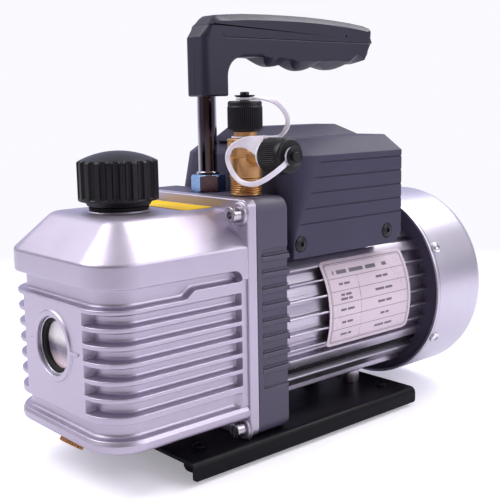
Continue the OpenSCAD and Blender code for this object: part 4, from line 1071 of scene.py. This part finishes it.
def make_port_cap(name, place, body, node):
    """A knurled cap standing on its open end, with the disc and knob that hold its tether."""
    profile = [(0, 13), (7.9, 13), (7.9, 0.35), (8.25, 0), (8.5, 0), (9.2, 0.25), (9.4, 0.9), (10.3, 1.0)]
    profile += [(10.45, 1.2), (10.5, 1.5), (10.5, 1.8), (10.5, 8), (10.5, 14.1), (10.5, 14.4), (10.35, 14.8)]
    profile += [(10.2, 15.0), (10.2, 16.9), (10.05, 17.5), (9.6, 17.95), (8.9, 18.2), (3.3, 18.2)]
    profile += [(2.7, 18.3)]
    profile += [(2.7, 20.2), (4.4, 20.25), (5.3, 20.4), (6.1, 21.2), (6.25, 21.5), (5.9, 21.45), (5.0, 20.9)]
    profile += [(3.4, 20.8), (2.75, 20.9), (2.7, 22.9), (2.4, 23.35), (1.9, 23.4), (0, 23.4)]
    cut = knurled(54, 0.5, 1.6, 14.3)
    cap = Shape().lathe(profile, place, 324, cut)
    settle(cap.object(name), "black_plastic", body, [node], 35)


def spline(points, steps=8):
    out = []
    for i in range(len(points) - 1):
        p0 = Vector(points[max(i - 1, 0)])
        p1, p2 = Vector(points[i]), Vector(points[i + 1])
        p3 = Vector(points[min(i + 2, len(points) - 1)])
        for k in range(steps):
            t = k / steps
            out.append(0.5 * (
                2 * p1 + (p2 - p0) * t + (2 * p0 - 5 * p1 + 4 * p2 - p3) * t * t
                + (3 * p1 - p0 - 3 * p2 + p3) * t ** 3
            ))
    out.append(Vector(points[-1]))
    return out


def strap(shape, points, widths, thick, flats):
    """A flat strap along a smooth path. The widths are those of its two ends; its flat side faces the three
    directions in flats at the start, the middle and the end."""
    path = spline(points, 9)
    rings = []
    for i, spot in enumerate(path):
        t = i / (len(path) - 1)
        way = (path[min(i + 1, len(path) - 1)] - path[max(i - 1, 0)]).normalized()
        late = max(0.0, 2 * t - 1)
        early = max(0.0, 1 - 2 * t)
        flat = flats[0] * early + flats[1] * (1 - early - late) + flats[2] * late
        across = way.cross(flat).normalized()
        normal = across.cross(way)
        w = STRAP_W + (widths[0] - STRAP_W) * max(0, 1 - t / 0.12) ** 1.6
        w += (widths[1] - STRAP_W) * max(0, (t - 0.78) / 0.22) ** 1.6
        section = rounded_rect(w, thick, 0.45, 3)
        rings.append([spot + across * x + normal * y for x, y in section])
    return shape.rings(rings)


def ring_profile(r0, r1, thick):
    return fillet([(r0, 0), (r1, 0), (r1, thick), (r0, thick)], 0.4, 3)


def make_tethers():
    ring_z = TOP_CAP + 18.45
    neck_z = CASE_HI.z + 34.2
    x, y = PORT.x, PORT.y
    view = Vector((0.75, -0.66, 0.05))
    top = Shape()
    top.ring(ring_profile(2.85, 5.3, 1.6), Matrix.Translation((x, y, ring_z)), 64)
    top.ring(ring_profile(6.95, 8.3, 1.2), Matrix.Translation((x, y, neck_z)), 72)
    strap(top, [
        (x + 4.1, y + 2.3, ring_z + 0.8), (x + 8.5, y + 6.6, ring_z + 0.9),
        (x + 14.2, y + 12, ring_z - 1.6), (x + 18, y + 16, ring_z - 7.5),
        (x + 18.4, y + 17.5, ring_z - 14.5), (x + 13.5, y + 15, ring_z - 21.5),
        (x + 5.2, y + 5.4, neck_z + 0.6),
    ], (3.4, 5), 1.2, (Z, view, Z))
    top = top.object("top_strap")
    settle(top, "tether_plastic", None)
    side = Shape()
    cap_x = SIDE_CAP + 18.45
    neck_x = x + 18.2
    z = SIDE_Z
    side.ring(ring_profile(2.85, 5.3, 1.6), facing((cap_x, y, z), X, Y), 64)
    side.ring(ring_profile(6.4, 8.8, 1.6), facing((neck_x, y, z), X, Y), 72)
    strap(side, [
        (cap_x + 0.8, y - 3.2, z - 2.3), (cap_x + 0.9, y - 8, z - 5.5), (cap_x - 2.5, y - 12.5, z - 9.8),
        (cap_x - 9, y - 15, z - 13.8), (cap_x - 17, y - 16, z - 15.6), (cap_x - 26, y - 16.5, z - 14),
        (cap_x - 33, y - 16.8, z - 8), (cap_x - 36.3, y - 16.4, z - 0.5), (cap_x - 33.5, y - 14.5, z + 5.6),
        (cap_x - 27, y - 9.5, z + 7.4), (neck_x + 0.5, y - 4.6, z + 5.4),
    ], (3.4, 14), 1.3, (X, view, X))
    side = side.object("side_strap")
    settle(side, "tether_plastic", None)
    for piece, body, start, end, node in (
        (top, "top_tether_end", (x, y, neck_z + 2), (x, y, ring_z - 0.2), "top_tether"),
        (side, "side_tether_end", (neck_x + 2, y, z), (cap_x - 0.2, y, z), "side_tether"),
    ):
        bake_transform(piece)
        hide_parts(node)


make_handle()
make_post()
make_fitting()
make_port_cap("top_cap_body", Matrix.Translation((PORT.x, PORT.y, TOP_CAP)), "top_cap", "top_port_cap")
make_port_cap("side_cap_body", facing((SIDE_CAP, PORT.y, SIDE_Z), X, Y), "side_cap", "side_port_cap")
make_tethers()


# Pump body

SHAFT = facing((0, 0, SHAFT_Z), Y, X)
MID_Z = (BODY_LO.z + BODY_HI.z) / 2


def make_pump_body():
    away = facing((0, 0, MID_Z), -Y, X)
    slab = soft_slab(
        Shape(), 2 * BODY_HI.x, BODY_HI.z - BODY_LO.z, 8, away, -25.3, -0.02, 0.5, low_edge=1.6
    )
    body = slab.object("body")
    low, high = BODY_LO.z + 29, BODY_LO.z + 114
    panel_rings = ((0, -0.5), (0.15, -0.15), (0.5, 0), (1.2, 0), (1.5, 0.15), (1.75, 0.5), (4, 0.5))
    rib_rings = ((2.9, 0.3), (3.2, 0.75), (3.9, 1), (24, 1), (26.2, 1), (26.95, 0.85), (27.3, 0.5))
    rib = fillet([(-2.6, -1.7), (1.9, -1.5), (2.4, -1.1), (2.4, 1.1), (1.9, 1.5), (-2.6, 1.7)], 0.35, 3)
    lip = fillet([(5.2, -0.35), (26, -0.35), (26, 0.35), (5.2, 0.35)], 0.3, 3)
    cuts, bars = [], []
    for side in (-1, 1):
        place = facing((side * (BODY_HI.x - 1.6), 0, 0), side * X, Y)

        def grown(amount):
            bottom, top = side * (low - amount), side * (high + amount)
            corners = [(3.7 - amount, bottom), (30, bottom), (30, top), (3.7 - amount, top)]
            return fillet(corners, 1.4 + amount, 4)

        panel = Shape().rings([
            [place @ Vector((x, y, h)) for x, y in grown(amount)] for h, amount in panel_rings
        ])
        cuts.append(panel.object("panel"))
        for i in range(8):
            z = high - 6 - i * 9.8
            rings = []
            for y, grow in rib_rings:
                # the front end is cut short where the panel's rim begins
                reach, limit = (1 if y < 20 else grow), BODY_HI.x - (1.2 if y < 3.5 else 0)
                rings.append([Vector((
                    side * min(BODY_HI.x - 2.5 + (u + 2.6) * reach - 2.6, limit), y, z + v * grow
                )) for u, v in rib])
            bars.append(Shape().rings(rings).object("rib"))
            under = facing((side * (BODY_HI.x - 3), 0, z + 2.6), side * X, Y)
            bars.append(Shape().prism(lip, under, 0, 2.1).object("lip"))
    combine(body, cuts, "DIFFERENCE")
    combine(body, bars, "UNION")
    shaft_bore = [(0, -2), (10.1, -2), (10.1, 3), (14.05, 3), (14.05, 9), (10.1, 9), (10.1, 14.2)]
    shaft_bore += [(17.55, 14.2), (17.55, 28), (0, 28)]
    holes = [
        Shape().lathe(shaft_bore, SHAFT, 64),
        rod(8.5, -15, 2, Matrix.Translation((PORT.x, PORT.y, BODY_HI.z)), 48),
        rod(6.05, -19, 2, Matrix.Translation((POST.x, POST.y, BODY_HI.z)), 48),
    ]
    combine(body, [hole.object("bore") for hole in holes], "DIFFERENCE")
    settle(body, "dark_painted_casting", stands_for=["pump_body"], sharp=34)


# Motor

HOUSING_LO, HOUSING_HI = node_box("motor_housing")
COVER_LO, COVER_HI = node_box("fan_cover")
WALL_R, TIP_R = 52.0, 57.0
SHAFT_UP = Matrix(((1, 0, 0, 0), (0, 0, 1, 0), (0, 1, 0, SHAFT_Z), (0, 0, 0, 1)))
SCREW_Y = sum(node_box("fan_cover_screws")[i].y for i in (0, 1)) / 2
TIE_BOLT_R, TIE_BOLT_ANGLE = 54.6, 38
COVER_SCREW_ANGLE = 28


def slanting(degrees):
    """Four directions out from the shaft, at an angle above and below the horizontal on both sides."""
    a = math.radians(degrees)
    return [Vector((side * math.cos(a), 0, up * math.sin(a))) for side in (-1, 1) for up in (-1, 1)]


def spot_at(a, r):
    return r * math.cos(a), r * math.sin(a)


def housing_outline():
    """Right half from the top down, then mirrored. Raised parts are (first angle, last angle, radius)."""
    def fin(a, r):
        half = math.degrees(0.8 / r)
        return a + half, a - half, r

    parts = [fin(84, 54), fin(72, 54), (58.4, 45.6, 55.0), (41, 33, TIP_R)]
    parts += [fin(a, TIP_R) for a in (24.4, 13.8, 3.2, -7.4, -18)]
    parts += [(-26, -34, TIP_R), (-43, -55.5, TIP_R + 2)]
    last = 88
    right = [(0, WALL_R), spot_at(math.radians(last), WALL_R)]
    for first, end, r in parts:
        right += [spot_at(math.radians(last - (last - first) * k / 3), WALL_R) for k in (1, 2)]
        a, b = math.radians(first), math.radians(end)
        soft = 0.7 if first - end < 3 else 1.0
        right += [(*spot_at(a, WALL_R), 1.1), (*spot_at(a, r), soft)]
        count = int((first - end) / 3)
        right += [spot_at(a + (b - a) * k / count, r) for k in range(1, count)]
        right.append((*spot_at(b, r), soft))
        if end > -50:
            right.append((*spot_at(b, WALL_R), 1.1))
        last = end
    rail_z = HOUSING_LO.z - SHAFT_Z
    right += [(31, rail_z + 6.4, 0.8), (31, rail_z, 1.0)]
    left = [(-p[0], *p[1:]) for p in reversed(right[1:])]
    return fillet(right + left, 0, 3)


def make_housing():
    housing = Shape().prism(housing_outline(), SHAFT_UP, HOUSING_LO.y, HOUSING_HI.y).object("housing")
    front = 27.6
    cuts = [
        rod(46.05, 0, 200, SHAFT, 160),
        Shape().ring([(WALL_R, 20), (70, 20), (70, front), (WALL_R, front)], SHAFT, 160),
    ]
    for side in (-1, 1):
        for way in slanting(TIE_BOLT_ANGLE):
            if way.x * side > 0:
                spot = (way.x * TIE_BOLT_R, 0, SHAFT_Z + way.z * TIE_BOLT_R)
                cuts.append(rod(2.3, 20, 180, facing(spot, Y, X)))
        for x in (22, 15):
            cuts.append(Shape().block(
                (side * x - 1, 20, HOUSING_LO.z - 1), (side * x + 1, 180, HOUSING_LO.z + 5)
            ))
        cuts.append(rod(2.05, -1, 6, Matrix.Translation((side * 20, 122, HOUSING_LO.z))))
    combine(housing, [cut.object("cut") for cut in cuts], "DIFFERENCE")
    settle(housing, "extruded_aluminium", stands_for=["motor_housing"], sharp=38)


def make_fan_cover():
    r, wall, edge = COVER_HI.x, 1.8, 10.0
    front, rear = COVER_LO.y, COVER_HI.y
    bend = [math.pi / 2 * k / 12 for k in range(13)]
    outer = [(r - 0.9, front), (r - 0.15, front + 0.25), (r, front + 0.9)]
    outer += [(r, front + 1.6), (r - 0.35, front + 2.1), (r - 0.35, front + 2.6), (r, front + 3.1)]
    outer += [(r, front + 20), (r, rear - edge - 4)]
    outer += [(r - edge + edge * math.cos(a), rear - edge + edge * math.sin(a)) for a in bend]
    outer += [(52, rear), (51.4, rear - 0.35), (50.6, rear - 0.35), (50, rear), (20, rear)]
    outer += [(19.6, rear - 0.3), (19, rear - 0.3), (18.6, rear), (7.3, rear), (7, rear - 0.3)]
    outer.append((7, rear - wall))
    s = edge - wall
    outer += [(r - edge + s * math.cos(a), rear - edge + s * math.sin(a)) for a in reversed(bend)]
    outer += [(r - wall, front + 0.3), (r - wall + 0.3, front)]
    cover = Shape().ring(outer, SHAFT, 256).object("cover_shell")
    cuts = []
    for i in range(16):
        a = 2 * math.pi * i / 16
        way = Vector((math.cos(a), 0, math.sin(a)))
        place = facing((0, rear - 4, SHAFT_Z), Y, way)
        vent = Shape().prism(rounded_rect(28, 4, 1.95, 6, (36, 0)), place, 0, 8)
        cuts.append(vent.object("vent"))
    for way in slanting(COVER_SCREW_ANGLE):
        cuts.append(rod(1.7, r - 12, r + 8, facing((0, SCREW_Y, SHAFT_Z), way, Y)).object("hole"))
    combine(cover, cuts, "DIFFERENCE")
    settle(cover, "spun_aluminium", stands_for=["fan_cover"], sharp=34)

    screws = Shape()
    for way in slanting(COVER_SCREW_ANGLE):
        place = facing(way * (r + 0.03) + Vector((0, SCREW_Y, SHAFT_Z)), way, Y)
        screw(screws, place, 3.8, 1.5, cross(2.4, 0.45), 1.2, 1.5, 11.5, dome=1.0, edge=0.5)
    settle(screws.object("cover_screws"), "zinc_plated_steel", stands_for=["fan_cover_screws"], sharp=40)


# Rating label

LABEL_LO, LABEL_HI = node_box("rating_label")
LABEL_R = 57.2
LABEL_ANGLES = (-22.0, 36.0)


def on_label(u, v, r):
    """A point on the curved label: u along the motor, v up round it, both in millimetres from its middle."""
    mid = math.radians(sum(LABEL_ANGLES) / 2)
    a = mid + v / LABEL_R
    return Vector((r * math.cos(a), (LABEL_LO.y + LABEL_HI.y) / 2 + u, SHAFT_Z + r * math.sin(a)))


def label_patch(shape, u0, u1, v0, v1, low, high):
    """A curved rectangle lying on the label."""
    across = max(2, int((v1 - v0) / 1.2))
    along = max(2, int((u1 - u0) / 3))
    outline = [(u0, v0 + (v1 - v0) * k / across) for k in range(across)]
    outline += [(u0 + (u1 - u0) * k / along, v1) for k in range(along)]
    outline += [(u1, v1 - (v1 - v0) * k / across) for k in range(across)]
    outline += [(u1 - (u1 - u0) * k / along, v0) for k in range(along)]
    shape.rings([[on_label(u, v, r) for u, v in outline] for r in (low, high)])


def make_rating_label():
    """A ruled label whose words are only short plain bars."""
    half_w = (LABEL_HI.y - LABEL_LO.y) / 2
    half_h = math.radians(LABEL_ANGLES[1] - LABEL_ANGLES[0]) * LABEL_R / 2
    rows, columns, corner = 40, 30, 3.2
    r0, r1 = 57.03, 57.33
    rings = []
    for j in range(rows + 1):
        v = -half_h + 2 * half_h * j / rows
        edge = half_h - abs(v)
        wide = half_w
        if edge < corner:
            wide -= corner - math.sqrt(max(0.0, corner ** 2 - (corner - edge) ** 2))
        us = [-wide + 2 * wide * i / columns for i in range(columns + 1)]
        rings.append([on_label(u, v, r0) for u in us] + [on_label(u, v, r1) for u in reversed(us)])
    sheet = Shape().rings(rings).object("label_sheet")
    settle(sheet, "white_label", stands_for=["rating_label"], sharp=50)

    ink = Shape()
    low, high = r1 - 0.02, r1 + 0.04
    thin = 0.35

    def line(u0, u1, v0, v1):
        label_patch(ink, u0, u1, v0, v1, low, high)

    def frame_line(inset, width, round_r):
        w, h = half_w - inset, half_h - inset
        outer = dense(fillet([(-w, -h), (w, -h), (w, h), (-w, h)], round_r, 6), 1.5)
        inner = [(u * (1 - width / half_w), v * (1 - width / half_h)) for u, v in outer]
        ink.rings([
            [on_label(*out, low), on_label(*out, high), on_label(*back, high), on_label(*back, low)]
            for out, back in zip(outer, inner)
        ], closed=True)

    frame_line(2.3, 0.5, 2.4)
    frame_line(3.4, 0.28, 1.8)
    left, right = -half_w + 3.5, half_w - 3.5
    split = left + 0.36 * (right - left)
    top = half_h - 12.6
    bottom = -half_h + 3.5
    row = (top - bottom) / 5
    for i in range(5):
        line(left, right, top - row * i - thin, top - row * i)
    line(split - thin / 2, split + thin / 2, bottom, top)
    dice = random.Random(4)
    title_v = half_h - 8.9
    u = left + 5
    for width in (1.2, 9.5, 13.5, 10):
        line(u, u + width, title_v - 1.3, title_v + 1.3)
        u += width + 2.6
    line(u + 4, u + 8.5, title_v - 1.2, title_v + 1.2)
    for i in range(5):
        v = top - row * (i + 0.5)
        for shift in (1.3, -1.5) if i == 1 else (0,):
            width = dice.uniform(9, 14)
            start = (left + split - width) / 2
            cut = dice.uniform(0.4, 0.65) * width
            line(start, start + cut - 0.6, v + shift - 0.75, v + shift + 0.75)
            line(start + cut + 0.5, start + width, v + shift - 0.75, v + shift + 0.75)
        width = dice.uniform(7, 20)
        start = (split + right - width) / 2
        line(start, start + width * 0.55 - 0.5, v - 0.8, v + 0.8)
        line(start + width * 0.55 + 0.6, start + width, v - 0.8, v + 0.8)
    settle(ink.object("label_print"), "white_label", material="printed_ink", sharp=50)


make_pump_body()
make_housing()
make_fan_cover()
make_rating_label()


# Electrical box

BOX_LO, BOX_HI = node_box("electrical_box")
SIDE_TOP = BOX_HI.z - 17
SHOULDER_Z = BOX_HI.z - 7
BOX_SCREWS = [(side, y) for side in (-1, 1) for y in (36.0, 116.4)]


def hull(name, points):
    mesh = bpy.data.meshes.new(name)
    bm = bmesh.new()
    for point in points:
        bm.verts.new(Vector(point) * MM)
    made = bmesh.ops.convex_hull(bm, input=bm.verts)
    loose = [v for v in made["geom_interior"] + made["geom_unused"] if isinstance(v, bmesh.types.BMVert)]
    bmesh.ops.delete(bm, geom=list(set(loose)), context="VERTS")
    bmesh.ops.dissolve_limit(bm, angle_limit=math.radians(2), verts=bm.verts, edges=bm.edges)
    bm.to_mesh(mesh)
    bm.free()
    thing = bpy.data.objects.new(name, mesh)
    bpy.context.scene.collection.objects.link(thing)
    return thing


def plate_points(x, y0, y1, z):
    return [(-x, y0, z), (x, y0, z), (x, y1, z), (-x, y1, z)]


def box_points(inset):
    """Corners of the box; its two front corners are rounded, more so towards the top."""
    half = BOX_HI.x - inset
    y0, y1 = BOX_LO.y + inset, BOX_HI.y - inset
    z0 = BOX_LO.z
    side_z, shoulder_z = SIDE_TOP - inset, SHOULDER_Z - inset
    points = plate_points(half, y1 - 20, y1 - 6, z0) + plate_points(half, y1 - 20, y1, z0 + 6)
    points += plate_points(half, y1 - 20, y1, side_z) + plate_points(33, y0 + 1, y0 + 20, side_z + 2.5)
    for z, flat, end in ((z0, 44, 1), (z0 + 10, 42, 1.5), (side_z - 25, 32, 16), (side_z, 32, 25)):
        for k in range(9):
            a = math.pi / 16 * k
            x, y = flat + (half - flat) * math.sin(a), y0 + end * (1 - math.cos(a))
            points += [(x, y, z), (-x, y, z)]
    return points + plate_points(43 - inset * 0.4, y1 - 20, y1, shoulder_z) + plate_points(
        38 - inset * 0.4, y0 + 14, y1, shoulder_z)


def make_box():
    box = bevelled(hull("box", box_points(0)), 2.6, 4, 20)
    y0, y1 = BOX_LO.y, BOX_HI.y
    ridge = plate_points(22, y0 + 5, y1 - 2, SHOULDER_Z - 2.5)
    ridge += plate_points(21.4, y0 + 5, y1 - 2, SHOULDER_Z) + plate_points(10, y0 + 7, y1 - 13, BOX_HI.z)
    ridge = bevelled(hull("ridge", ridge), 1.6, 3, 14)
    combine(box, [ridge], "UNION")
    inner = hull("inner", [p for p in box_points(3) if p[2] > BOX_LO.z + 5]
                 + plate_points(BOX_HI.x - 3, y0 + 3, y1 - 9, BOX_LO.z + 3))
    cuts = [inner, rod(57.35, 20, 145, SHAFT, 160).object("motor_room")]
    screw_z = sum(node_box("electrical_box_screws")[i].z for i in (0, 1)) / 2
    groove = fillet([(0, -0.55), (110, -0.55), (110, 0.55), (0, 0.55)], 0.5, 3)
    recess = [(0, -5), (1.6, -5), (1.6, -1), (4.95, -1), (4.95, -0.25), (5.3, 0.05), (5.3, 3), (0, 3)]
    for side in (-1, 1):
        for i in range(5):
            start = (side * (BOX_HI.x - 0.7), y0 + 6.5 + 4.4 * i, BOX_LO.z + 20.9 + 9.2 * i)
            cuts.append(Shape().prism(groove, facing(start, side * X, Y), 0, 3).object("line"))
        for y in [y for screw_side, y in BOX_SCREWS if screw_side == side]:
            place = facing((side * BOX_HI.x, y, screw_z), side * X)
            cuts.append(Shape().lathe(recess, place, 40).object("recess"))
    rear = facing((0, y1, 0), Y, X)
    for node, margin in (("switch_body", 0.9), ("power_inlet", 2.1)):
        low, high = node_box(node)
        outline = rounded_rect(
            high.x - low.x - 2 * margin, high.z - low.z - 2 * margin, 0.6, 4,
            ((low.x + high.x) / 2, -(low.z + high.z) / 2),
        )
        cuts.append(Shape().prism(outline, rear, -5, 4).object("opening"))
    combine(box, cuts, "DIFFERENCE")
    settle(box, "dark_plastic", stands_for=["electrical_box"], sharp=34)

    screws = Shape()
    for side, y in BOX_SCREWS:
        place = facing((side * (BOX_HI.x - 0.98), y, screw_z), side * X, Y)
        screw(screws, place, 4.7, 1.2, hexagon(2.9), 1.1, 1.5, 5, dome=0.7, edge=0.5)
    settle(screws.object("box_screws"), "black_plastic", stands_for=["electrical_box_screws"], sharp=40)


# Base

BASE_LO, BASE_HI = node_box("base_plate")
FOOT_X, FOOT_Y = 44, (-36, 127.5)
FEET = [(side * FOOT_X, y) for side in (-1, 1) for y in FOOT_Y]


def make_base():
    half, top, lip = BASE_HI.x, BASE_HI.z, BASE_LO.z
    bend, sheet = 4.0, 2.0
    inside, under = half - sheet, top - sheet
    outline = fillet([(-half, lip), (-half, top, bend), (half, top, bend), (half, lip)], 0, 6)
    outline += fillet([
        (inside, lip), (inside, under, bend - sheet), (-inside, under, bend - sheet), (-inside, lip)
    ], 0, 6)
    along_y = Matrix(((1, 0, 0, 0), (0, 0, 1, 0), (0, 1, 0, 0), (0, 0, 0, 1)))
    along_x = Matrix(((0, 0, 1, 0), (1, 0, 0, 0), (0, 1, 0, 0), (0, 0, 0, 1)))
    plate = Shape().prism(outline, along_y, BASE_LO.y, BASE_HI.y).object("plate")
    cuts = []
    # the lower corners of both lips are rounded off
    r = 1.8
    for y, way in ((BASE_LO.y, 1), (BASE_HI.y, -1)):
        corner = [(y - way, lip - 1), (y + r * way, lip - 1), (y + r * way, lip)]
        for k in range(7):
            a = math.pi / 2 * k / 6
            corner.append((y + way * r * (1 - math.sin(a)), lip + r * (1 - math.cos(a))))
        corner.append((y - way, lip + r))
        cuts.append(Shape().prism(corner, along_x, -90, 90))
    for side in (-1, 1):
        for x, y in ((FOOT_X, FOOT_Y[0]), (FOOT_X, FOOT_Y[1]), (40, 12.5), (20, 122)):
            cuts.append(rod(2.1, -5, 5, Matrix.Translation((side * x, y, top))))
    combine(plate, [cut.object("cut") for cut in cuts], "DIFFERENCE")
    bevelled(plate, 0.3, 2, 40)
    settle(plate, "black_painted_steel", stands_for=["base_plate"], sharp=40)

    screws, feet = Shape(), Shape()
    profile = [(0, 0.6), (5.5, 0.6), (6.2, 0), (7.6, 0), (8.2, 0.4), (9, 2.2), (9, 10.6), (8.6, 10.95)]
    profile += [(2, 10.95), (2, 3), (0, 3)]
    for x, y in FEET:
        place = Matrix.Translation((x, y, top))
        screw(screws, place, 3.8, 1.2, hexagon(2.5), 1.2, 1.9, 9.5, dome=1.0, edge=0.5)
        feet.lathe(profile, Matrix.Translation((x, y, FLOOR_Z)), 48)
    settle(screws.object("foot_screw_heads"), "black_painted_steel", stands_for=["foot_screws"], sharp=40)
    settle(feet.object("foot_pads"), "rubber", stands_for=["rubber_feet"], sharp=40)


make_box()
make_base()


# Carried-over CAD nodes

BEVELS = {
    "base_plate": 0.4, "rubber_feet": 0.6, "motor_support_spacers": 0.3, "motor_housing": 0.2,
    "rear_end_bell": 0.5, "handle_grip": 2.5, "handle_top_cover": 2.0, "electrical_box": 0.8,
    "oil_case": 0.5, "pump_body": 0.8, "fan_cover": 0.3, "oil_fill_cap": 0.4, "inlet_fitting": 0.3,
    "handle_lock_nut": 0.4, "handle_post": 0.4,
}


def dress_cad_nodes():
    """The record's material slot decides each carried-over node's finish."""
    slots = {part["node"]: part["material_slot"] for part in frame["record"]["subparts"]}
    for name, thing in frame["nodes"].items():
        material = MATERIALS[slots[name]]
        if thing.data.materials:
            for index in range(len(thing.data.materials)):
                thing.data.materials[index] = material
        else:
            thing.data.materials.append(material)
        width = BEVELS.get(name, 0.12)
        weld = thing.modifiers.new("weld", "WELD")
        weld.merge_threshold = 1e-6
        bevel = thing.modifiers.new("bevel", "BEVEL")
        bevel.width = width * MM
        bevel.segments = 2 if width < 1 else 4
        bevel.limit_method = "ANGLE"
        bevel.angle_limit = math.radians(35)


dress_cad_nodes()


# Studio

BACKDROP = (0.955, 0.95, 1.0)
LIGHT_LEVEL = 0.75
CAMERA_AZIMUTH, CAMERA_ELEVATION, CAMERA_ROLL = 48.67, 9.5, -0.95
CAMERA_PLACE = (0.4362, -0.3381, 0.2125)


def make_floor():
    """A pale floor that fades into the backdrop away from the object."""
    g = Graph("studio_floor")
    mesh = bpy.data.meshes.new("floor")
    half = 6.0
    z = FLOOR_Z * MM - 0.0002
    mesh.from_pydata(
        [(-half, -half, z), (half, -half, z), (half, half, z), (-half, half, z)], [], [(0, 1, 2, 3)]
    )
    away = g.add("VectorMath", {"operation": "DISTANCE"})
    g.feed(away.inputs[0], g.place)
    away.inputs[1].default_value = (0, 0.05, z)
    far = g.spread(away.outputs["Value"], 0, 1, 0.3, 0.75)
    seen = g.add("LightPath").outputs["Is Camera Ray"]
    mesh.materials.append(g.finish(
        Base_Color=g.mix(g.spread(g.noise(4), 0, 1), (0.9, 0.885, 0.95), (0.92, 0.91, 0.97)),
        Roughness=g.spread(g.noise(40), 0.5, 0.6),
        Normal=g.bump(g.noise(500), 0.00002),
        Emission_Color=BACKDROP,
        Emission_Strength=g.value("MULTIPLY", seen, 0.3),
    ))
    glow = g.add("Emission", Color=BACKDROP, Strength=1.0)
    blend = g.add("MixShader")
    g.feed(blend.inputs[0], g.value("MULTIPLY", far, seen))
    g.tree.links.new(g.shader.outputs[0], blend.inputs[1])
    g.tree.links.new(glow.outputs[0], blend.inputs[2])
    g.tree.links.new(blend.outputs[0], g.tree.nodes["Material Output"].inputs[0])
    floor = bpy.data.objects.new("floor", mesh)
    bpy.context.scene.collection.objects.link(floor)


def make_world():
    """A light tent: white above and behind, grey lower in front, with a dark warm opening at the camera."""
    world = bpy.data.worlds.new("studio")
    bpy.context.scene.world = world
    world.use_nodes = True
    g = Graph("studio", world)
    back = g.tree.nodes["Background"]
    way = g.add("TexCoord").outputs["Generated"]
    height = g.add("SeparateXYZ", Vector=way).outputs["Z"]
    azimuth = math.radians(CAMERA_AZIMUTH)
    dot = g.add("VectorMath", {"operation": "DOT_PRODUCT"})
    g.feed(dot.inputs[0], way)
    dot.inputs[1].default_value = (math.sin(azimuth), -math.cos(azimuth), 0.05)
    toward = dot.outputs["Value"]
    tent = g.mix(g.spread(height, 0, 1, -0.05, 0.55), (0.42, 0.39, 0.52), (1.0, 0.99, 1.0))
    tent = g.mix(g.spread(toward, 1, 0, -0.9, -0.4), tent, (0.78, 0.8, 1.15))
    tent = g.mix(g.spread(toward, 0, 1, 0.6, 0.86), tent, (0.24, 0.15, 0.15))
    seen = g.add("LightPath").outputs["Is Camera Ray"]
    g.tree.links.new(g.mix(seen, tent, BACKDROP), back.inputs[0])
    g.tree.links.new(g.spread(seen, LIGHT_LEVEL, 1.0, 0, 1), back.inputs[1])


def area_light(name, place, aim, size, power, colour=(1, 1, 1)):
    """A square lamp; its place, aim and size are in metres."""
    light = bpy.data.lights.new(name, "AREA")
    light.energy = power
    light.color = colour
    light.shape = "RECTANGLE"
    light.size = light.size_y = size
    lamp = bpy.data.objects.new(name, light)
    lamp.location = place
    lamp.rotation_euler = (Vector(aim) - Vector(place)).to_track_quat("-Z", "Y").to_euler()
    bpy.context.scene.collection.objects.link(lamp)


def make_camera():
    """The camera stands at a place in metres, and looks from a direction in degrees."""
    azimuth, elevation, roll = map(math.radians, (CAMERA_AZIMUTH, CAMERA_ELEVATION, CAMERA_ROLL))
    back = Vector((
        math.sin(azimuth) * math.cos(elevation), -math.cos(azimuth) * math.cos(elevation),
        math.sin(elevation),
    ))
    right = (-back).cross(Z).normalized()
    up = right.cross(-back)
    c, s = math.cos(roll), math.sin(roll)
    turn = Matrix((right * c + up * s, up * c - right * s, back)).transposed().to_4x4()
    turn.translation = Vector(CAMERA_PLACE)
    lens = bpy.data.cameras.new("camera")
    lens.lens = 63.76
    lens.sensor_width = 36
    camera = bpy.data.objects.new("camera", lens)
    camera.matrix_world = turn
    bpy.context.scene.collection.objects.link(camera)
    bpy.context.scene.camera = camera


make_floor()
make_world()
centre = (0, 0.05, 0.1)
area_light("key", (-0.6, -0.7, 1.2), centre, 0.9, 14, (1, 0.99, 1))
area_light("right", (1.2, 0.6, 0.8), centre, 0.8, 7, (0.97, 0.96, 1))
area_light("back", (0.1, 1.0, 1.3), centre, 0.8, 14, (1, 1, 1))
make_camera()
bpy.context.scene.view_settings.view_transform = "Standard"
